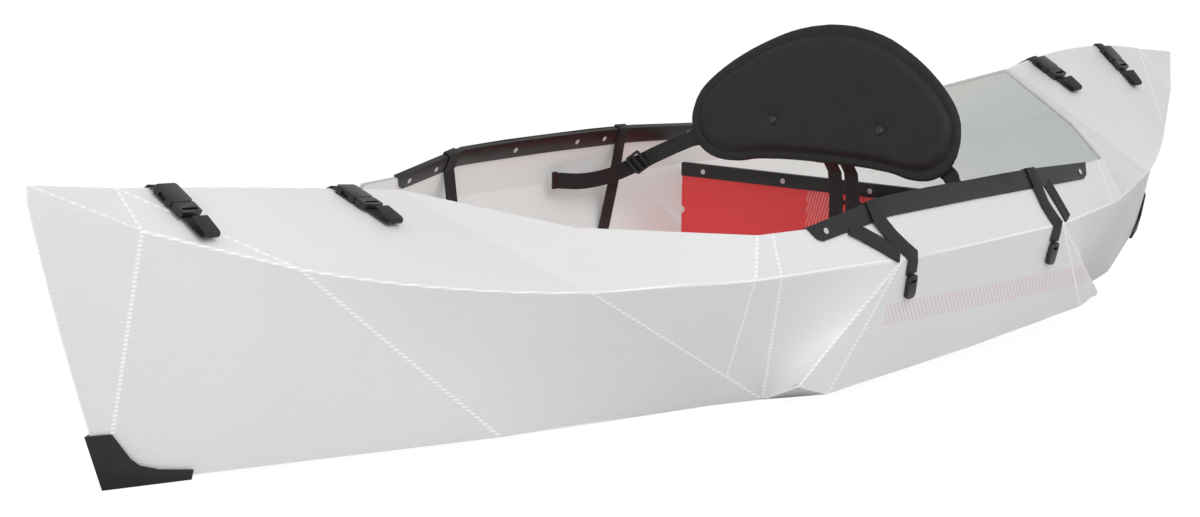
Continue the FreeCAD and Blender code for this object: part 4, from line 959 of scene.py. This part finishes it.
# %% Seat pad
SEAT_CORNER, SEAT_START, QUILT_SHARE, QUILT_DEEP, QUILT_WIDE = 0.42, 0.975, 0.36, 0.004, 0.006
low, high = (np.array(corner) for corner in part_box("seat_pad"))
centre, half = (low + high) / 2, (high - low) / 2
turn = np.linspace(0, 2 * math.pi, 96, endpoint=False)
ring = np.stack([np.cos(turn), np.sin(turn)], axis=1)
plan = np.sign(ring) * np.abs(ring) ** SEAT_CORNER * half[:2] * SEAT_START
spots, faces = lens(plan, np.zeros(2), half[2] * 0.86, -half[2] * 0.98, 14, 4.0)
seat_mesh = bpy.data.meshes.new("seat_cushion")
seat_mesh.from_pydata(spots + centre, [], faces)
seat_cushion = new_object("seat_cushion", seat_mesh, pad_black)
print("seat cover moved", round(inflate(seat_cushion, 0.006, COVER_CAP) / MM, 1), "mm")
seat_mesh = seat_cushion.data
spots = read_points(seat_mesh)
spots[:, 2] = np.maximum(spots[:, 2], low[2])
quilt = np.abs(np.abs(spots[:, 1]) - half[1] * QUILT_SHARE)
# The quilt lines take the pad's painted groove shade: edge_gap is set so that the colour darkens
# along each dent.
mark_points(seat_mesh, "edge_gap", GROOVE_AT + quilt / MM)
dent = QUILT_DEEP * np.exp(-(quilt / QUILT_WIDE) ** 2)
spots[:, 2] -= np.where(spots[:, 2] > centre[2], dent, 0)
seat_mesh.vertices.foreach_set("co", spots.ravel())
smooth_faces(seat_mesh)
refine(seat_cushion)
finish_piece(seat_cushion, HULL_BODY, "pad_fabric", "seat_pad")
print("seat points", len(seat_mesh.vertices))

# %% [markdown]
# Webbing is a flat band that bends easily over its face and hardly at all in its plane. Each
# strap is a narrow section with round edges, carried along a curve, and its weave follows the
# strap by its UV map, so it never slides when the strap bends.

# %% Straps along a curve
WEB_WIDTH, WEB_THICK = 25.0 * MM, 1.6 * MM


def open_curve(points, steps):
    """Catmull-Rom through an open row of points; beyond each end the last span is mirrored."""
    points = np.array(points, float)
    ring = np.vstack([2 * points[0] - points[1], points, 2 * points[-1] - points[-2]])
    at = np.linspace(0, len(points) - 1, steps * (len(points) - 1) + 1)
    i = np.minimum(at.astype(int), len(points) - 2)
    t = (at - i)[:, None]
    a, b, c, d = (ring[i + k] for k in range(4))
    return 0.5 * (2 * b + (c - a) * t + (2 * a - 5 * b + 4 * c - d) * t ** 2
                  + (3 * b - a - 3 * c + d) * t ** 3)


def webbing(name, points, ways, width=WEB_WIDTH, thick=WEB_THICK, steps=8):
    """A strap: a rounded flat section swept along a curve, its face held to the given ways."""
    path = open_curve(points, steps)
    way = open_curve(ways, steps)
    along = np.gradient(path, axis=0)
    along /= np.linalg.norm(along, axis=1, keepdims=True)
    across = np.cross(along, way)
    across /= np.linalg.norm(across, axis=1, keepdims=True)
    face = np.cross(across, along)
    lip = 0.42 * thick
    section = np.array([(-width / 2, -lip), (-width / 2 + lip, -thick / 2),
                        (width / 2 - lip, -thick / 2), (width / 2, -lip), (width / 2, lip),
                        (width / 2 - lip, thick / 2), (-width / 2 + lip, thick / 2),
                        (-width / 2, lip)])
    grid = (path[:, None] + across[:, None] * section[None, :, :1]
            + face[:, None] * section[None, :, 1:])
    levels, count = grid.shape[:2]
    i = np.arange(count)
    base = np.arange(levels - 1)[:, None] * count
    quads = np.stack([base + i, base + (i + 1) % count, base + count + (i + 1) % count,
                      base + count + i], axis=-1).reshape(-1, 4)
    caps = [i.tolist(), ((levels - 1) * count + i[::-1]).tolist()]
    mesh = bpy.data.meshes.new(name)
    mesh.from_pydata(grid.reshape(-1, 3), [], quads.tolist() + caps)
    run = np.append(0, np.cumsum(np.linalg.norm(np.diff(path, axis=0), axis=1)))
    girth = np.linalg.norm(np.diff(section, axis=0, append=section[:1]), axis=1)
    side = np.append(0, np.cumsum(girth))
    u = np.stack([np.broadcast_to(side[:-1], (levels - 1, count)),
                  np.broadcast_to(side[1:], (levels - 1, count))], axis=-1)
    v = np.stack([np.repeat(run[:-1, None], count, 1), np.repeat(run[1:, None], count, 1)], -1)
    table = np.stack([np.stack([u[..., 0], v[..., 0]], -1), np.stack([u[..., 1], v[..., 0]], -1),
                      np.stack([u[..., 1], v[..., 1]], -1),
                      np.stack([u[..., 0], v[..., 1]], -1)], axis=2).reshape(-1, 2)
    layer = mesh.uv_layers.new(name="UVMap")
    flat = np.zeros((len(mesh.loops), 2))
    flat[:len(table)] = table
    layer.data.foreach_set("uv", flat.ravel())
    outward(mesh)
    return new_object(name, mesh, web_strap)


web_strap, tree, shader = new_material("web_strap", Roughness=0.6)
along_map = tree.nodes.new("ShaderNodeUVMap")
along_map.uv_map = "UVMap"
split = tree.nodes.new("ShaderNodeSeparateXYZ")
tree.links.new(along_map.outputs[0], split.inputs[0])
warp = use_group(tree, ribs, Place=split.outputs[0], Pitch=0.0021)
weft = use_group(tree, ribs, Place=split.outputs[1], Pitch=0.0016)
weave = add_math(tree, "MULTIPLY", warp.outputs["Height"], weft.outputs["Height"])
tint_between(tree, shader, weave, (0.009, 0.009, 0.0095), (0.028, 0.028, 0.029))
bump_from(tree, shader, weave, 0.5, 0.0003)
print("webbing", WEB_WIDTH, WEB_THICK)

# %% Side straps
STRAP_STARTS = {
    # from the pad's edge to the slide: the starboard one is pulled tight, the port one sags
    "starboard": [(204, 214, 250), (203, 228, 249), (200, 250, 243), (194, 305, 217)],
    "port": [(204, 214, 238), (203, 226, 231), (200, 243, 214), (193, 300, 196)],
}
STRAP_END = [(182.5, 351.5, 192), (135, 360.5, 181), (79.5, 369.5, 178), (24, 379.5, 184)]
TAB_HALF, TAB_WIDTH, TAB_THICK = (4.5 * MM, 0, 0), 27 * MM, 3.4 * MM
for side, out in SIDES.items():
    points = np.array(STRAP_STARTS[side] + STRAP_END) * (1, out, 1) * MM
    ahead, inward = (-1.0, 0, 0), (0, -out, 0)
    ways = [ahead, (-0.9, 0.3 * out, 0), (-0.95, -0.2 * out, 0), ahead, (-0.7, -0.7 * out, 0),
            inward, inward, inward]
    strap = webbing(f"side_strap_{side}", points, ways)
    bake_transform(strap)
    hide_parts(f"backrest_strap_{side}")
    tab_run = [points[-1] + TAB_HALF, points[-1], points[-1] - TAB_HALF]
    tab = webbing(f"strap_end_{side}", tab_run, [inward] * 3, TAB_WIDTH, TAB_THICK, 2)
    tab.data.materials[0] = buckle_black
    finish_piece(tab, HULL_BODY, "buckle")
print("side straps", len(SIDES))

# %% [markdown]
# Each wrap strap has a short second leg that steadies it along the boat. It comes out from under
# the rail and meets the long leg at the sheer, so it lies flat on the wing all the way. The wing
# is ruled between two rows that are known already, so points on it need no search.

# %% Brace legs
BRACE_LIFT, BRACE_WIDTH = 2.1 * MM, 22.5 * MM
RAIL_SHARE, KNOT_SHARE, BRACE_SHARES = 0.42, 0.94, (0.26, 0.40, 0.55, 0.74, 0.94)
BRACE_REACHES = {"bow": (283, 226), "stern": (222, 240)}


def wing_spot(end, side, reach, share):
    """A point of a cockpit wing, share of the way from its edge to the sheer, and its normal."""
    rows = quarter_rows(end, side)[1]
    ends = []
    for row in (rows["edge"], rows["edge_foot"]):
        if abs(row[-1][0]) > reach * MM:
            row = rows["rail"] if row is rows["edge"] else rows["rail_foot"]
        order = np.argsort(row[:, 0])
        ends.append(np.array([np.interp(end * reach * MM, row[order, 0], row[order, k])
                              for k in range(3)]))
    normal = np.cross(ends[1] - ends[0], (1.0, 0, 0))
    normal *= side * np.sign(normal[1]) / np.linalg.norm(normal)
    return between(ends[0], ends[1], share), normal


for end_name, end in ENDS.items():
    first, last = BRACE_REACHES[end_name]
    for side_name, side in SIDES.items():
        points, ways = [], []
        for share in BRACE_SHARES:
            reach = first + (last - first) * (share - RAIL_SHARE) / (KNOT_SHARE - RAIL_SHARE)
            point, normal = wing_spot(end, side, reach, share)
            points.append(point + normal * BRACE_LIFT)
            ways.append(normal)
        leg = webbing(f"brace_{end_name}_{side_name}", points, ways, BRACE_WIDTH, steps=4)
        finish_piece(leg, HULL_BODY, "webbing")
print("brace legs", len(ENDS) * len(SIDES))
